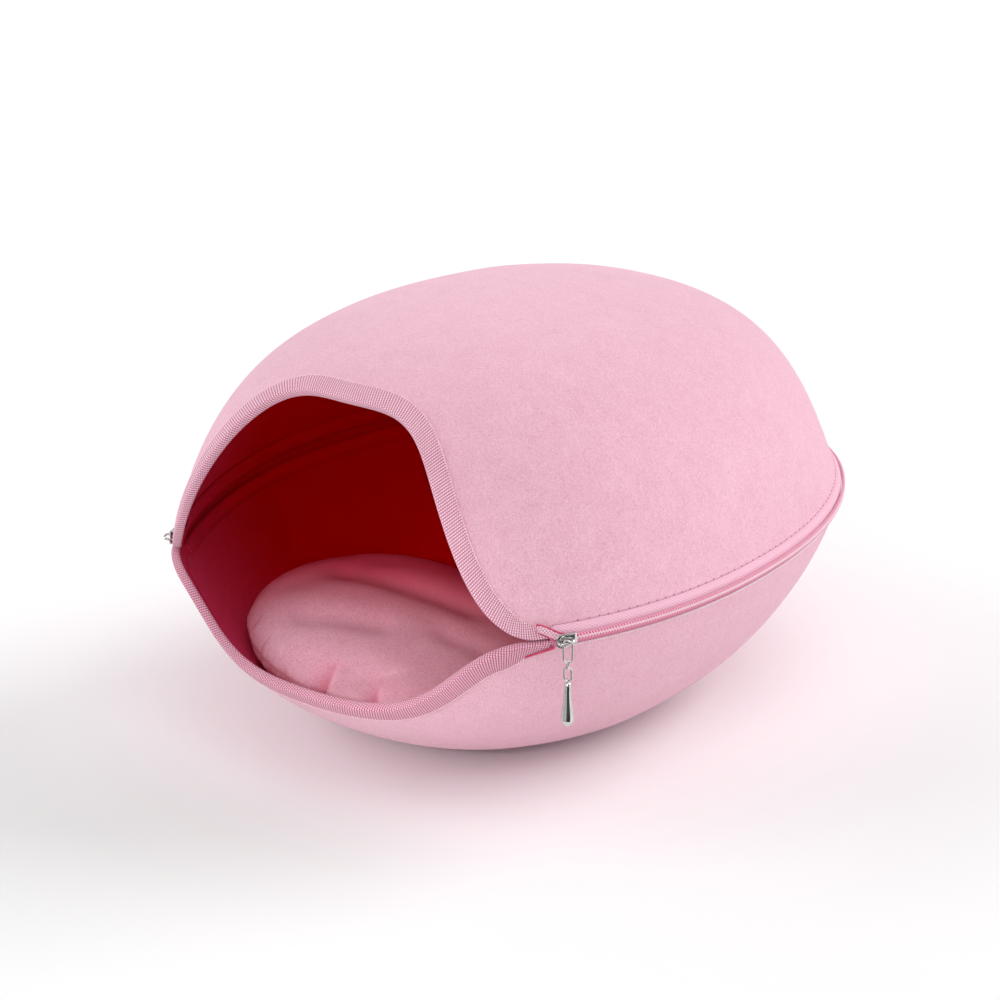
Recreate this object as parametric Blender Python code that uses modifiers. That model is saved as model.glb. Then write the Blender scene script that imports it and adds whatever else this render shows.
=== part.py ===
"""Felt cat cave: two moulded felt shells joined by a zip around the middle, with a bound mouth at
the front and a loose filled cushion inside.

The cave stands on the floor at z = 0 and its mouth faces -Y. Each shell is a loft: its plan is a
slightly egg-shaped superellipse, scaled along a cubic Bezier profile from the seam to the crown or
to the flat base. Angles around the cave are measured from the mouth's middle, counterclockwise
seen from above.
"""

import math
from collections import namedtuple

import bmesh
import bpy
import numpy as np
from mathutils import Matrix, Vector

# ---------------------------------------------------------------- driving dimensions, metres

GAP = 0.0003  # between pieces that touch
SEAM_HEIGHT = 0.120  # zip above the floor
HALF_LENGTH = 0.240  # seam ridge, middle to back
HALF_WIDTH = 0.183  # seam ridge, middle to side
PLAN_POWER = 2.16  # superellipse exponent of the plan
EGG_TAPER = 0.053  # share by which the plan is wider at the mouth and narrower at the back
FELT = 0.0034  # wall thickness of both shells

# One row for each shell. rise: +1 builds up from the seam, -1 down. rim: from the seam to the
# felt's edge. reach: from the seam to the crown or base. rim_scale: plan scale of the felt's edge.
# lean and shoulder: the first Bezier handle's scale and height share. broad: the second handle's
# scale. flat: plan scale where the profile ends. tip: how far the end is set towards the mouth.
Shell = namedtuple("Shell", "rise rim reach rim_scale lean shoulder broad flat tip")
DOME = Shell(1, 0.0065, 0.139, 0.974, 0.876, 0.51, 0.77, 0.0, 0.007)
BOWL = Shell(-1, 0.0058, 0.120, 0.985, 0.916, 0.49, 0.66, 0.31, 0.0)

# The mouth's cut edges, seen from the front: a bell curve from the corner to the middle.
# corner_gap: height of the cut edge over or under the seam at the corners. middle: at the middle.
# spread and steep shape the bell. leg and leg_side: how far the binding laps onto the felt outside,
# at the middle and at the sides.
Mouth = namedtuple("Mouth", "corner_gap middle spread steep leg leg_side")
ARCH = Mouth(0.0029, 0.1095, 1.74, 1.20, 0.0105, 0.0086)
LIP = Mouth(0.0028, 0.0570, 2.18, 1.30, 0.0098, 0.0098)
MOUTH_CORNER = math.radians(49.5)  # each side of the middle

# Where the soft felt has settled out of its moulded shape. angle: middle of the place. width: its
# spread along the seam. level: its height over the seam. above and below: its spread in height.
# slip: towards the mouth's middle. inward: into the cave. sag: down.
Settled = namedtuple("Settled", "angle width level above below slip inward sag")
PLACES = (
    Settled(math.radians(-50), math.radians(24), 0.0, 0.028, 0.036, 0.0073, 0.0, 0.0095),
    Settled(math.radians(-38), math.radians(22), -0.022, 0.028, 0.036, 0.0, 0.0075, 0.0),
    Settled(math.radians(44), math.radians(11), 0.0, 0.010, 0.008, 0.0, 0.0, 0.0015),
)

BINDING = 0.0008  # thickness of the folded tape
BINDING_LEG_END = 0.0055  # the outer lap where it runs into the zip
BINDING_TAPER = math.radians(6.0)  # the stretch before the corner where it narrows
BINDING_INNER_LEG = 0.008
BINDING_GAP = 0.0003  # outside the felt
BINDING_INNER_GAP = 0.0005
FOLD_DEPTH = 0.0016  # from the cut edge to the middle of the folded tape
FOLD_CLEAR = 0.0007  # from the seam to the middle of the tape where both bindings meet

TAPE = 0.0010  # thickness of the zip tape
TAPE_LAP = 0.050  # share of the profile that the tape runs up inside the felt
TAPE_START = math.radians(1.5)  # past the mouth's corner
TAPE_EDGE = 0.0004  # the tape's edge over or under the seam
COIL_RADIUS = 0.0011
COIL_HEIGHT = 0.00125  # each half chain above or below the seam
COIL_START = math.radians(1.6)
CORNER_STEP = math.radians(0.45)  # where the felt's edge steps back up to its rim

MOUTH_STEPS = 28
BACK_STEPS = 52
DOME_ROWS = 11
BOWL_ROWS = 9

SLIDER_LENGTH = 0.0130
SLIDER_HEIGHT = 0.0086
SLIDER_PLATE = 0.0012
SLIDER_NOSE = 0.0036  # radius of the rounded nose
SLIDER_POST = (0.0010, 0.0026)  # from the nose's tip, the post's two ends
POST_HALF = 0.0006
LIP_DEPTH = 0.0009  # how far the lips reach in past the seam ridge
LIP_WALL = 0.0009
INNER_PLATE = 0.0011
INNER_HALF = 0.0012
INNER_SHORT = 0.0030  # the inner plate ends this much before the tail
SLIDER_AHEAD = math.radians(0.55)  # from the corner to the slider's nose
SLIDER_DROOP = math.radians(5)  # the right slider's nose, tipped down by its pull
PLATE_OUT = 0.0014  # seam ridge to the outer plate
PLATE_IN = 0.0028  # seam ridge to the inner plate
CROWN_REACH = 0.0036  # crown bar's middle, out from the outer plate
CROWN_SPAN = 0.0086
CROWN_BAR = 0.0007  # radius
CROWN_AHEAD = 0.0010  # the crown's middle, from the slider's middle towards its nose
CROWN_SUNK = 0.0004  # how far its feet run into the plate

PULL_YAW = math.radians(50)  # the loop turned from the slider's outward direction
PULL_SLACK = 0.0005  # between the crown's bar and the loop that hangs on it
LINK_WIRE = 0.0005  # radius, of the link and the ring
LOOP_WIRE = 0.00055  # radius
Oval = namedtuple("Oval", "name half_width half_height wire faces_out")
CHAIN = (
    Oval("pull_loop", 0.0026, 0.00665, LOOP_WIRE, True),
    Oval("pull_link", 0.00155, 0.0027, LINK_WIRE, False),
    Oval("pull_ring", 0.0021, 0.0040, LINK_WIRE, True),
)
# The drop's outline: distance below the middle of its eye, radius.
DROP = (
    (-0.0019, 0.0004), (-0.0016, 0.0011), (-0.0008, 0.0017), (0.0010, 0.0020),
    (0.0050, 0.0020), (0.0110, 0.0024), (0.0160, 0.0030), (0.0200, 0.0035),
    (0.0228, 0.0036), (0.0250, 0.0030), (0.0266, 0.0017), (0.0270, 0.0004),
)
DROP_EYE = 0.00095  # radius
DROP_TAB = 0.0008  # half thickness of the flattened eye
DROP_TAB_LOW = 0.0018  # the flats end this far under the eye
DROP_CUTTER = 0.004  # the cutters reach this far from the eye

CUSHION_RADIUS = 0.109
CUSHION_MIDDLE = (-0.022, -0.073)
CUSHION_CROWN = 0.0715  # height of the crown's middle
CUSHION_EDGE = 0.012  # height of the rim seam's plane at the middle
CUSHION_TILT = 0.27  # slope up towards the left wall
CUSHION_SQUARE = 2.32  # how full the crown's section is
CUSHION_LEAST = 0.0025  # least height of the rim seam over the felt under it
CUSHION_TUCKS = 21
CUSHION_LAYERS = 6  # rows of points from the rim seam to the crown, and to the base
TUCK_COLUMNS = 4  # meridians to each tuck
TUCK_DEPTH = 0.004
TUCK_START = 0.85  # share of the radius where a tuck begins
CUSHION_CLEAR = 0.0015  # off the felt walls
WALL_UPRIGHT = 0.05  # how far the felt leans off level before the full clearance is kept

# ---------------------------------------------------------------- materials


def material(name, colour, roughness, metallic=0.0):
    """A plain Principled material."""
    made = bpy.data.materials.new(name)
    made.use_nodes = True
    shader = made.node_tree.nodes["Principled BSDF"]
    shader.inputs["Base Color"].default_value = (*colour, 1.0)
    shader.inputs["Roughness"].default_value = roughness
    shader.inputs["Metallic"].default_value = metallic
    made.diffuse_color = (*colour, 1.0)
    return made


# ---------------------------------------------------------------- the shells' surface


def signed_power(value, power):
    return np.sign(value) * np.abs(value) ** power


def plan(angle):
    """The seam ridge at an angle from the mouth's middle, as x and y."""
    along = signed_power(-np.cos(angle), 2 / PLAN_POWER)
    across = signed_power(np.sin(angle), 2 / PLAN_POWER)
    return HALF_WIDTH * (1 - EGG_TAPER * along) * across, HALF_LENGTH * along


def profile(shell, v):
    """Plan scale, signed height over the seam and shift along Y at v, 0 at the rim, 1 at the end."""
    w = 1 - v
    b0, b1, b2, b3 = w**3, 3 * w * w * v, 3 * w * v * v, v**3
    scale = shell.rim_scale * (b0 + b1 * shell.lean + b2 * shell.broad) + b3 * shell.flat
    handle = shell.rim + shell.shoulder * (shell.reach - shell.rim)
    height = b0 * shell.rim + b1 * handle + (b2 + b3) * shell.reach
    return scale, shell.rise * height, -shell.tip * v * v


def moulded(shell, angle, v):
    """Points of the felt's outer face as moulded, as an array whose last axis is x, y, z."""
    x, y = plan(angle)
    scale, height, shift = profile(shell, v)
    return np.stack([x * scale, y * scale + shift, SEAM_HEIGHT + height + 0 * x], -1)


def settled(points):
    """The points moved by every settled place, each a bell around its middle."""
    moved = points.copy()
    heading = np.arctan2(points[..., 0] / HALF_WIDTH, -points[..., 1] / HALF_LENGTH)
    for place in PLACES:
        over = points[..., 2] - SEAM_HEIGHT - place.level
        spread = np.where(over > 0, place.above, place.below)
        weight = np.exp(-(((heading - place.angle) / place.width) ** 2) - (over / spread) ** 2)
        side, ahead = math.sin(place.angle), math.cos(place.angle)
        to_middle = np.array([-ahead * np.sign(side), -abs(side), 0.0]) * place.slip
        inside = np.array([-side, ahead, 0.0]) * place.inward
        moved += weight[..., None] * (to_middle + inside + np.array([0.0, 0.0, -place.sag]))
    return moved


def surface(shell, angle, v):
    """Points of the felt's outer face."""
    return settled(moulded(shell, angle, v))


def unit(vectors):
    return vectors / np.linalg.norm(vectors, axis=-1, keepdims=True)


def slopes(shell, angle, v):
    """The surface's derivatives along the angle and along v, and its outward normal."""
    step = 1e-4
    around = (surface(shell, angle + step, v) - surface(shell, angle - step, v)) / (2 * step)
    onward = (surface(shell, angle, v + step) - surface(shell, angle, v - step)) / (2 * step)
    return around, onward, unit(np.cross(around, onward)) * shell.rise


def ridge(angle):
    """Points on the seam's ridge, its direction there and the outward direction."""
    def line(at):
        x, y = plan(at)
        return settled(np.stack([x, y, SEAM_HEIGHT + 0 * x], -1))

    run = unit(line(angle + 1e-4) - line(angle - 1e-4))
    out = unit(np.stack([run[..., 1], -run[..., 0], 0 * run[..., 0]], -1))
    return line(angle), run, out


def cut_edge(shell, mouth, angle):
    """v of the mouth's cut edge on each meridian within the corners, found by halving."""
    corner_v = halve(
        lambda v: shell.rise * profile(shell, v)[1] - mouth.corner_gap, -0.1, 0.5, np.zeros(1)
    )
    corner_x = moulded(shell, np.array([MOUTH_CORNER]), corner_v)[0, 0]

    def over(v):
        point = moulded(shell, angle, v)
        share = np.clip(np.abs(point[..., 0]) / corner_x, 0, 1)
        bell = ((1 + np.cos(math.pi * share**mouth.spread)) / 2) ** mouth.steep
        wanted = mouth.corner_gap + (mouth.middle - mouth.corner_gap) * bell
        return shell.rise * (point[..., 2] - SEAM_HEIGHT) - wanted

    return halve(over, -0.1, 0.98, angle)


def halve(function, low, high, like):
    """Where a rising function of v crosses zero, one v for each entry of like."""
    low = np.full_like(like, low)
    high = np.full_like(like, high)
    for _ in range(40):
        middle = (low + high) / 2
        above = function(middle) > 0
        high = np.where(above, middle, high)
        low = np.where(above, low, middle)
    return (low + high) / 2


# ---------------------------------------------------------------- meshes


def add_mesh(name, points, faces, paint, collection):
    """A mesh object from points and faces, shaded smooth but for its sharp edges."""
    mesh = bpy.data.meshes.new(name)
    mesh.from_pydata([tuple(p) for p in points], [], [tuple(f) for f in faces])
    mesh.shade_smooth()
    mesh.set_sharp_from_angle(angle=math.radians(40))
    mesh.materials.append(paint)
    made = bpy.data.objects.new(name, mesh)
    collection.objects.link(made)
    return made


def grid_faces(rows, columns, closed):
    """Quads of a grid of points stored row by row, wrapped round where it is closed."""
    row, column = np.meshgrid(
        np.arange(rows - 1), np.arange(columns if closed else columns - 1), indexing="ij"
    )
    beside = (column + 1) % columns
    quads = [row * columns + column, row * columns + beside]
    quads += [(row + 1) * columns + beside, (row + 1) * columns + column]
    return np.stack(quads, -1).reshape(-1, 4)


def split(points, quads):
    """Each quad as two triangles, cut along its shorter diagonal."""
    first = np.linalg.norm(points[quads[:, 0]] - points[quads[:, 2]], axis=1)
    second = np.linalg.norm(points[quads[:, 1]] - points[quads[:, 3]], axis=1)
    by_first = quads[:, [0, 1, 2]], quads[:, [0, 2, 3]]
    by_second = quads[:, [0, 1, 3]], quads[:, [1, 2, 3]]
    chosen = (first <= second)[:, None]
    pairs = [np.where(chosen, a, b) for a, b in zip(by_first, by_second)]
    return [tuple(int(i) for i in face) for face in np.concatenate(pairs)]


def fan(ring, pole, turned):
    """Triangles from a closed ring of point numbers to a pole."""
    beside = np.roll(ring, -1)
    ends = (beside, ring) if turned else (ring, beside)
    return [(int(a), int(b), pole) for a, b in zip(*ends)]


def wall(made, thickness, offset):
    """Gives an open sheet its thickness."""
    solid = made.modifiers.new("Thickness", "SOLIDIFY")
    solid.thickness = thickness
    solid.offset = offset
    solid.use_even_offset = True
    return made


def strip(name, sheet, thickness, paint, collection):
    """A sheet of points, across by along, as a tape of even thickness."""
    across, along = sheet.shape[:2]
    points = sheet.reshape(-1, 3)
    faces = split(points, grid_faces(across, along, False))
    return wall(add_mesh(name, points, faces, paint, collection), thickness, 0.0)


def tube(name, points, radius, paint, collection, cyclic=False, resolution=1):
    """A round bar along a polyline, made a mesh with its caps welded."""
    curve = bpy.data.curves.new(name, "CURVE")
    curve.dimensions = "3D"
    curve.bevel_depth = radius
    curve.bevel_resolution = resolution
    curve.use_fill_caps = not cyclic
    line = curve.splines.new("POLY")
    line.points.add(len(points) - 1)
    for entry, point in zip(line.points, points):
        entry.co = (*point, 1.0)
    line.use_cyclic_u = cyclic
    guide = bpy.data.objects.new(name + "_guide", curve)
    collection.objects.link(guide)
    bpy.context.view_layer.update()
    mesh = bpy.data.meshes.new_from_object(
        guide.evaluated_get(bpy.context.evaluated_depsgraph_get())
    )
    bpy.data.objects.remove(guide)
    weld(mesh)
    mesh.name = name
    mesh.materials.clear()
    mesh.materials.append(paint)
    mesh.shade_smooth()
    mesh.set_sharp_from_angle(angle=math.radians(40))
    made = bpy.data.objects.new(name, mesh)
    collection.objects.link(made)
    return made


def weld(mesh):
    """Joins points that lie together and turns the faces outward."""
    work = bmesh.new()
    work.from_mesh(mesh)
    bmesh.ops.remove_doubles(work, verts=work.verts, dist=1e-6)
    bmesh.ops.recalc_face_normals(work, faces=work.faces)
    work.to_mesh(mesh)
    work.free()


def rows(count):
    """Shares of each meridian: the zip tape's lap first, then closer together towards the end."""
    even = np.linspace(0, 1, count)
    eased = 0.55 * even + 0.45 * np.sin(even * math.pi / 2)
    return np.concatenate([[0.0], TAPE_LAP + (1 - TAPE_LAP) * eased])


def mouth_columns():
    """Meridians through the mouth, evenly spaced along the arch's cut edge."""
    fine = np.linspace(-MOUTH_CORNER, MOUTH_CORNER, 20 * MOUTH_STEPS + 1)
    edge = moulded(DOME, fine, cut_edge(DOME, ARCH, fine))
    length = np.concatenate([[0], np.linalg.norm(np.diff(edge, axis=0), axis=1).cumsum()])
    return np.interp(np.linspace(0, length[-1], MOUTH_STEPS + 1), length, fine)


def back_columns():
    start = MOUTH_CORNER + TAPE_START
    return np.linspace(start, 2 * math.pi - start, BACK_STEPS + 1)


def felt_shell(name, shell, mouth, count, paint, collection):
    """A moulded shell: meridians from the rim or the mouth's cut edge to the crown or the base."""
    front, back = mouth_columns(), back_columns()
    step = MOUTH_CORNER + CORNER_STEP
    angles = np.concatenate([front, [step], back, [2 * math.pi - step]])
    bottom = np.concatenate([cut_edge(shell, mouth, front), np.zeros(len(back) + 2)])
    share = rows(count)[:, None]
    v = bottom + (1 - bottom) * share
    sheet = surface(shell, np.broadcast_to(angles, v.shape), v)
    pole = np.array([[0.0, -shell.tip, SEAM_HEIGHT + shell.rise * shell.reach]])
    if shell.flat == 0:
        sheet = sheet[:-1]
    points = np.concatenate([sheet.reshape(-1, 3), pole])
    turned = shell.rise < 0
    faces = grid_faces(len(sheet), len(angles), True)
    faces = split(points, faces[:, ::-1] if turned else faces)
    last = len(points) - 1 - len(angles)
    faces += fan(np.arange(last, last + len(angles)), len(points) - 1, turned)
    return wall(add_mesh(name, points, faces, paint, collection), FELT, -1.0)


# ---------------------------------------------------------------- sewn pieces


def mouth_binding(name, shell, mouth, paint, collection):
    """Woven tape folded over the cut edge: a leg outside, the fold and a leg inside."""
    angle = mouth_columns()
    v = cut_edge(shell, mouth, angle)
    around, onward, normal = slopes(shell, angle, v)
    ahead = np.minimum(angle + 1e-4, MOUTH_CORNER)
    behind = np.maximum(angle - 1e-4, -MOUTH_CORNER)
    run = surface(shell, ahead, cut_edge(shell, mouth, ahead))
    run = unit(run - surface(shell, behind, cut_edge(shell, mouth, behind)))
    inward = unit(np.cross(normal, run)) * shell.rise
    turn, climb = step_along(around, onward, inward)

    def on_felt(distance, height):
        """Points that far in from the cut edge, raised along the felt's normal."""
        there = angle + turn * distance, v + climb * distance
        return surface(shell, *there) + slopes(shell, *there)[2] * height

    taper = np.clip((MOUTH_CORNER - np.abs(angle)) / BINDING_TAPER, 0, 1)
    taper = taper * taper * (3 - 2 * taper)
    leg = mouth.leg_side + (mouth.leg - mouth.leg_side) * np.cos(angle * math.pi / 2 / MOUTH_CORNER)
    leg = BINDING_LEG_END + (leg - BINDING_LEG_END) * taper
    outside = BINDING_GAP + BINDING / 2
    inside = -FELT - BINDING_INNER_GAP - BINDING / 2
    layers = [on_felt(leg, outside), on_felt(leg / 2, outside), on_felt(0 * leg, outside)]
    core = surface(shell, angle, v) + normal * (outside + inside) / 2
    for turned in (math.pi / 4, math.pi / 2, 3 * math.pi / 4):
        start = core + normal * signed_power(math.cos(turned), 0.6) * (outside - inside) / 2
        level = shell.rise * (start[:, 2] - ridge(angle)[0][:, 2]) - FOLD_CLEAR
        pressed = np.minimum(level / (shell.rise * inward[:, 2]), 2 * FOLD_DEPTH)
        drop = pressed + (math.sin(turned) ** 0.6 * FOLD_DEPTH - pressed) * taper
        layers.append(start - inward * drop[:, None])
    layers += [on_felt(0 * leg, inside), on_felt(0 * leg + BINDING_INNER_LEG, inside)]
    return strip(name, np.stack(layers), BINDING, paint, collection)


def step_along(around, onward, wanted):
    """How far to go in angle and in v for one metre along a direction that lies in the surface."""
    aa = (around * around).sum(-1)
    ab = (around * onward).sum(-1)
    bb = (onward * onward).sum(-1)
    wa = (wanted * around).sum(-1)
    wb = (wanted * onward).sum(-1)
    scale = aa * bb - ab * ab
    return (wa * bb - wb * ab) / scale, (wb * aa - wa * ab) / scale


def zip_tape(name, shell, paint, collection):
    """Woven tape from behind its coil, out under the felt's edge and up inside the felt."""
    angle = back_columns()
    middle, _, out = ridge(angle)
    lift = np.array([0, 0, shell.rise])
    _, onward, normal = slopes(shell, angle, 0 * angle)
    rim = surface(shell, angle, 0 * angle)
    below = -unit(onward) * (GAP + TAPE / 2)
    behind = FELT + GAP + TAPE / 2
    lap = angle * 0 + TAPE_LAP
    top = surface(shell, angle, lap) - slopes(shell, angle, lap)[2] * behind
    coil_side = middle - out * (COIL_RADIUS + GAP + TAPE / 2)
    layers = [
        coil_side + lift * TAPE_EDGE,
        coil_side + lift * 2 * COIL_HEIGHT - out * GAP,
        rim + below - normal * TAPE / 2,
        rim + below - normal * behind,
        top,
    ]
    return strip(name, np.stack(layers), TAPE, paint, collection)


def zip_coil(name, shell, paint, collection):
    """Half of the closed coil chain, as the round bead that its turns fill."""
    angle = back_columns()
    start = MOUTH_CORNER + COIL_START
    angle[0], angle[-1] = start, 2 * math.pi - start
    line = ridge(angle)[0] + np.array([0, 0, shell.rise * COIL_HEIGHT])
    return tube(name, line, COIL_RADIUS, paint, collection)


# ---------------------------------------------------------------- metal pieces


def corner_frame(side):
    """A matrix whose columns are outward, along the seam and up, at the slider on that side."""
    length = np.linalg.norm(slopes(DOME, np.array([MOUTH_CORNER]), np.zeros(1))[0])
    angle = side * (MOUTH_CORNER + SLIDER_AHEAD + SLIDER_LENGTH / 2 / length)
    place, along, out = (Vector(row[0]) for row in ridge(np.array([angle])))
    frame = Matrix((out, along, out.cross(along))).transposed().to_4x4()
    frame.translation = place
    return frame


def plumb(frame):
    """The same frame with its third column turned straight up."""
    out = frame.col[0].to_3d()
    upright = Matrix((out, Vector((0, 0, 1)).cross(out), (0, 0, 1))).transposed().to_4x4()
    upright.translation = frame.translation
    return upright


def block(name, low, high, frame, collection):
    """A box between two corners of a frame."""
    bpy.ops.mesh.primitive_cube_add(size=1)
    made = bpy.context.object
    made.name = name
    low, high = Vector(low), Vector(high)
    made.data.transform(Matrix.Translation((low + high) / 2) @ Matrix.Diagonal((*(high - low), 1)))
    made.data.transform(frame)
    move_to(made, collection)
    return made


def rod(name, start, end, radius, frame, collection, sides=24):
    """A cylinder between two points of a frame."""
    start, end = Vector(start), Vector(end)
    bpy.ops.mesh.primitive_cylinder_add(vertices=sides, radius=radius, depth=(end - start).length)
    made = bpy.context.object
    made.name = name
    turn = (end - start).to_track_quat("Z", "Y").to_matrix().to_4x4()
    made.data.transform(frame @ Matrix.Translation((start + end) / 2) @ turn)
    move_to(made, collection)
    return made


def move_to(made, collection):
    for holder in list(made.users_collection):
        holder.objects.unlink(made)
    collection.objects.link(made)


def combine(base, others, operation):
    """Boolean modifiers that join helpers to a piece, or cut them from it."""
    for other in others:
        other.hide_render = True
        other.display_type = "WIRE"
        change = base.modifiers.new(other.name, "BOOLEAN")
        change.operation = operation
        change.object = other
    return base


def zip_slider(name, side, droop, paint, collection, helpers):
    """A slider: outer plate with lips round the coils, nose, post, inner plate and crown."""
    frame = corner_frame(side) @ Matrix.Rotation(droop, 4, "X")
    nose, tail = -side * SLIDER_LENGTH / 2, side * SLIDER_LENGTH / 2
    shoulder = nose + side * SLIDER_NOSE
    back, front = PLATE_OUT, PLATE_OUT + SLIDER_PLATE
    half, sunk = SLIDER_HEIGHT / 2, SLIDER_PLATE / 4

    def piece(label, first, second, holder=helpers):
        low, high = zip(*(sorted(pair) for pair in zip(first, second)))
        return block(name + label, low, high, frame, holder)

    def lip(label, level):
        """A lip along one edge of the plate, from a height inside the plate to just over its edge."""
        start, end = shoulder + side * sunk, tail - side * sunk
        inner, outer = level * (half - LIP_WALL), level * (half + sunk)
        return piece(label, (-LIP_DEPTH, start, inner), (front - sunk, end, outer))

    body = piece("", (back, shoulder, -half), (front, tail, half), collection)
    body.data.materials.clear()
    body.data.materials.append(paint)
    post = nose + side * SLIDER_POST[0], nose + side * SLIDER_POST[1]
    inside = -PLATE_IN - INNER_PLATE
    inner_ends = nose + side * sunk, tail - side * INNER_SHORT
    inner = (inside, inner_ends[0], -INNER_HALF), (-PLATE_IN, inner_ends[1], INNER_HALF)
    nose_ends = (back + sunk / 2, shoulder, 0), (front + sunk / 2, shoulder, 0)
    parts = [
        lip("_lip_top", 1),
        lip("_lip_low", -1),
        rod(name + "_nose", *nose_ends, SLIDER_NOSE + sunk, frame, helpers),
        piece("_post", (inside + sunk, post[0], -POST_HALF), (front - sunk, post[1], POST_HALF)),
        piece("_inner", *inner),
        crown(name + "_crown", front, -side * CROWN_AHEAD, frame, paint, helpers),
    ]
    return combine(body, parts, "UNION")


def crown(name, front, middle, frame, paint, collection):
    """The arched bar on the slider's outer plate that carries the pull."""
    turn = np.linspace(0, math.pi, 13)
    along = middle - CROWN_SPAN / 2 * signed_power(np.cos(turn), 0.7)
    out = front - CROWN_SUNK + (CROWN_REACH + CROWN_SUNK) * np.sin(turn) ** 0.7
    points = [frame @ Vector((o, a, 0)) for o, a in zip(out, along)]
    return tube(name, points, CROWN_BAR, paint, collection, resolution=2)


def oval(ring, centre, heading, frame, paint, collection):
    """A ring with straight sides and round ends, upright in the plane of a heading."""
    turn = np.linspace(0, 2 * math.pi, 24, endpoint=False)
    across = ring.half_width * np.cos(turn)
    straight = ring.half_height - ring.half_width
    up = ring.half_width * np.sin(turn) + np.sign(np.sin(turn + 1e-9)) * straight
    points = [
        frame @ Vector((centre[0] + a * heading[0], centre[1] + a * heading[1], centre[2] + u))
        for a, u in zip(across, up)
    ]
    return tube(ring.name, points, ring.wire, paint, collection, cyclic=True, resolution=2)


def pull_drop(place, heading, frame, paint, collection, helpers):
    """A turned solid drop with a flattened eye at its top."""
    mesh = bpy.data.meshes.new("pull_drop")
    points = [(0, 0, -DROP[0][0])]
    points += [(radius, 0, -below) for below, radius in DROP]
    points += [(0, 0, -DROP[-1][0])]
    mesh.from_pydata(points, [(i, i + 1) for i in range(len(points) - 1)], [])
    mesh.materials.append(paint)
    made = bpy.data.objects.new("pull_drop", mesh)
    collection.objects.link(made)
    turn = Matrix.Rotation(math.atan2(heading[1], heading[0]), 4, "Z")
    made.matrix_world = frame @ Matrix.Translation(place) @ turn
    turned = made.modifiers.new("Turned", "SCREW")
    turned.steps = turned.render_steps = 16
    turned.use_merge_vertices = True
    turned.merge_threshold = 0.00001
    turned.use_smooth_shade = True
    local, far = made.matrix_world, DROP_CUTTER
    cutters = [rod("drop_eye", (-far, 0, 0), (far, 0, 0), DROP_EYE, local, helpers)]
    for label, near in (("drop_flat_front", DROP_TAB), ("drop_flat_back", -DROP_TAB)):
        low, high = sorted((near, math.copysign(far, near)))
        cutters.append(block(label, (low, -far, -DROP_TAB_LOW), (high, far, far), local, helpers))
    return combine(made, cutters, "DIFFERENCE")


def zip_pull(paint, collection, helpers):
    """Loop, link, ring and drop, hanging one from the other off the right slider's crown."""
    frame = plumb(corner_frame(1))
    bar = PLATE_OUT + SLIDER_PLATE + CROWN_REACH
    facing = math.cos(PULL_YAW), math.sin(PULL_YAW)
    edge_on = -facing[1], facing[0]
    top = CROWN_BAR + PULL_SLACK + LOOP_WIRE
    for ring in CHAIN:
        heading = facing if ring.faces_out else edge_on
        centre = bar, -CROWN_AHEAD, top - ring.half_height
        oval(ring, centre, heading, frame, paint, collection)
        bottom = top - 2 * ring.half_height
        top = bottom + ring.wire + GAP + LINK_WIRE
    return pull_drop((bar, -CROWN_AHEAD, bottom), facing, frame, paint, collection, helpers)


# ---------------------------------------------------------------- cushion


def felt_under(x, y):
    """Height of the bowl's inner face over points of the plan, and how upright its normal is.

    Each round moves the angle and v by what the surface's slopes say is still missing in the plan,
    in steps short enough to stay on the bowl.
    """
    angle = np.arctan2(x / HALF_WIDTH, -y / HALF_LENGTH)
    v = 0 * x + 0.5
    for _ in range(25):
        around, onward, normal = slopes(BOWL, angle, v)
        point = surface(BOWL, angle, v) - normal * FELT
        right, ahead = x - point[..., 0], y - point[..., 1]
        area = around[..., 0] * onward[..., 1] - around[..., 1] * onward[..., 0]
        turn = (right * onward[..., 1] - ahead * onward[..., 0]) / area
        climb = (ahead * around[..., 0] - right * around[..., 1]) / area
        angle = angle + np.clip(turn, -0.2, 0.2)
        v = np.clip(v + np.clip(climb, -0.15, 0.15), 0, 0.999)
    return point[..., 2], np.abs(normal[..., 2])


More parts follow.
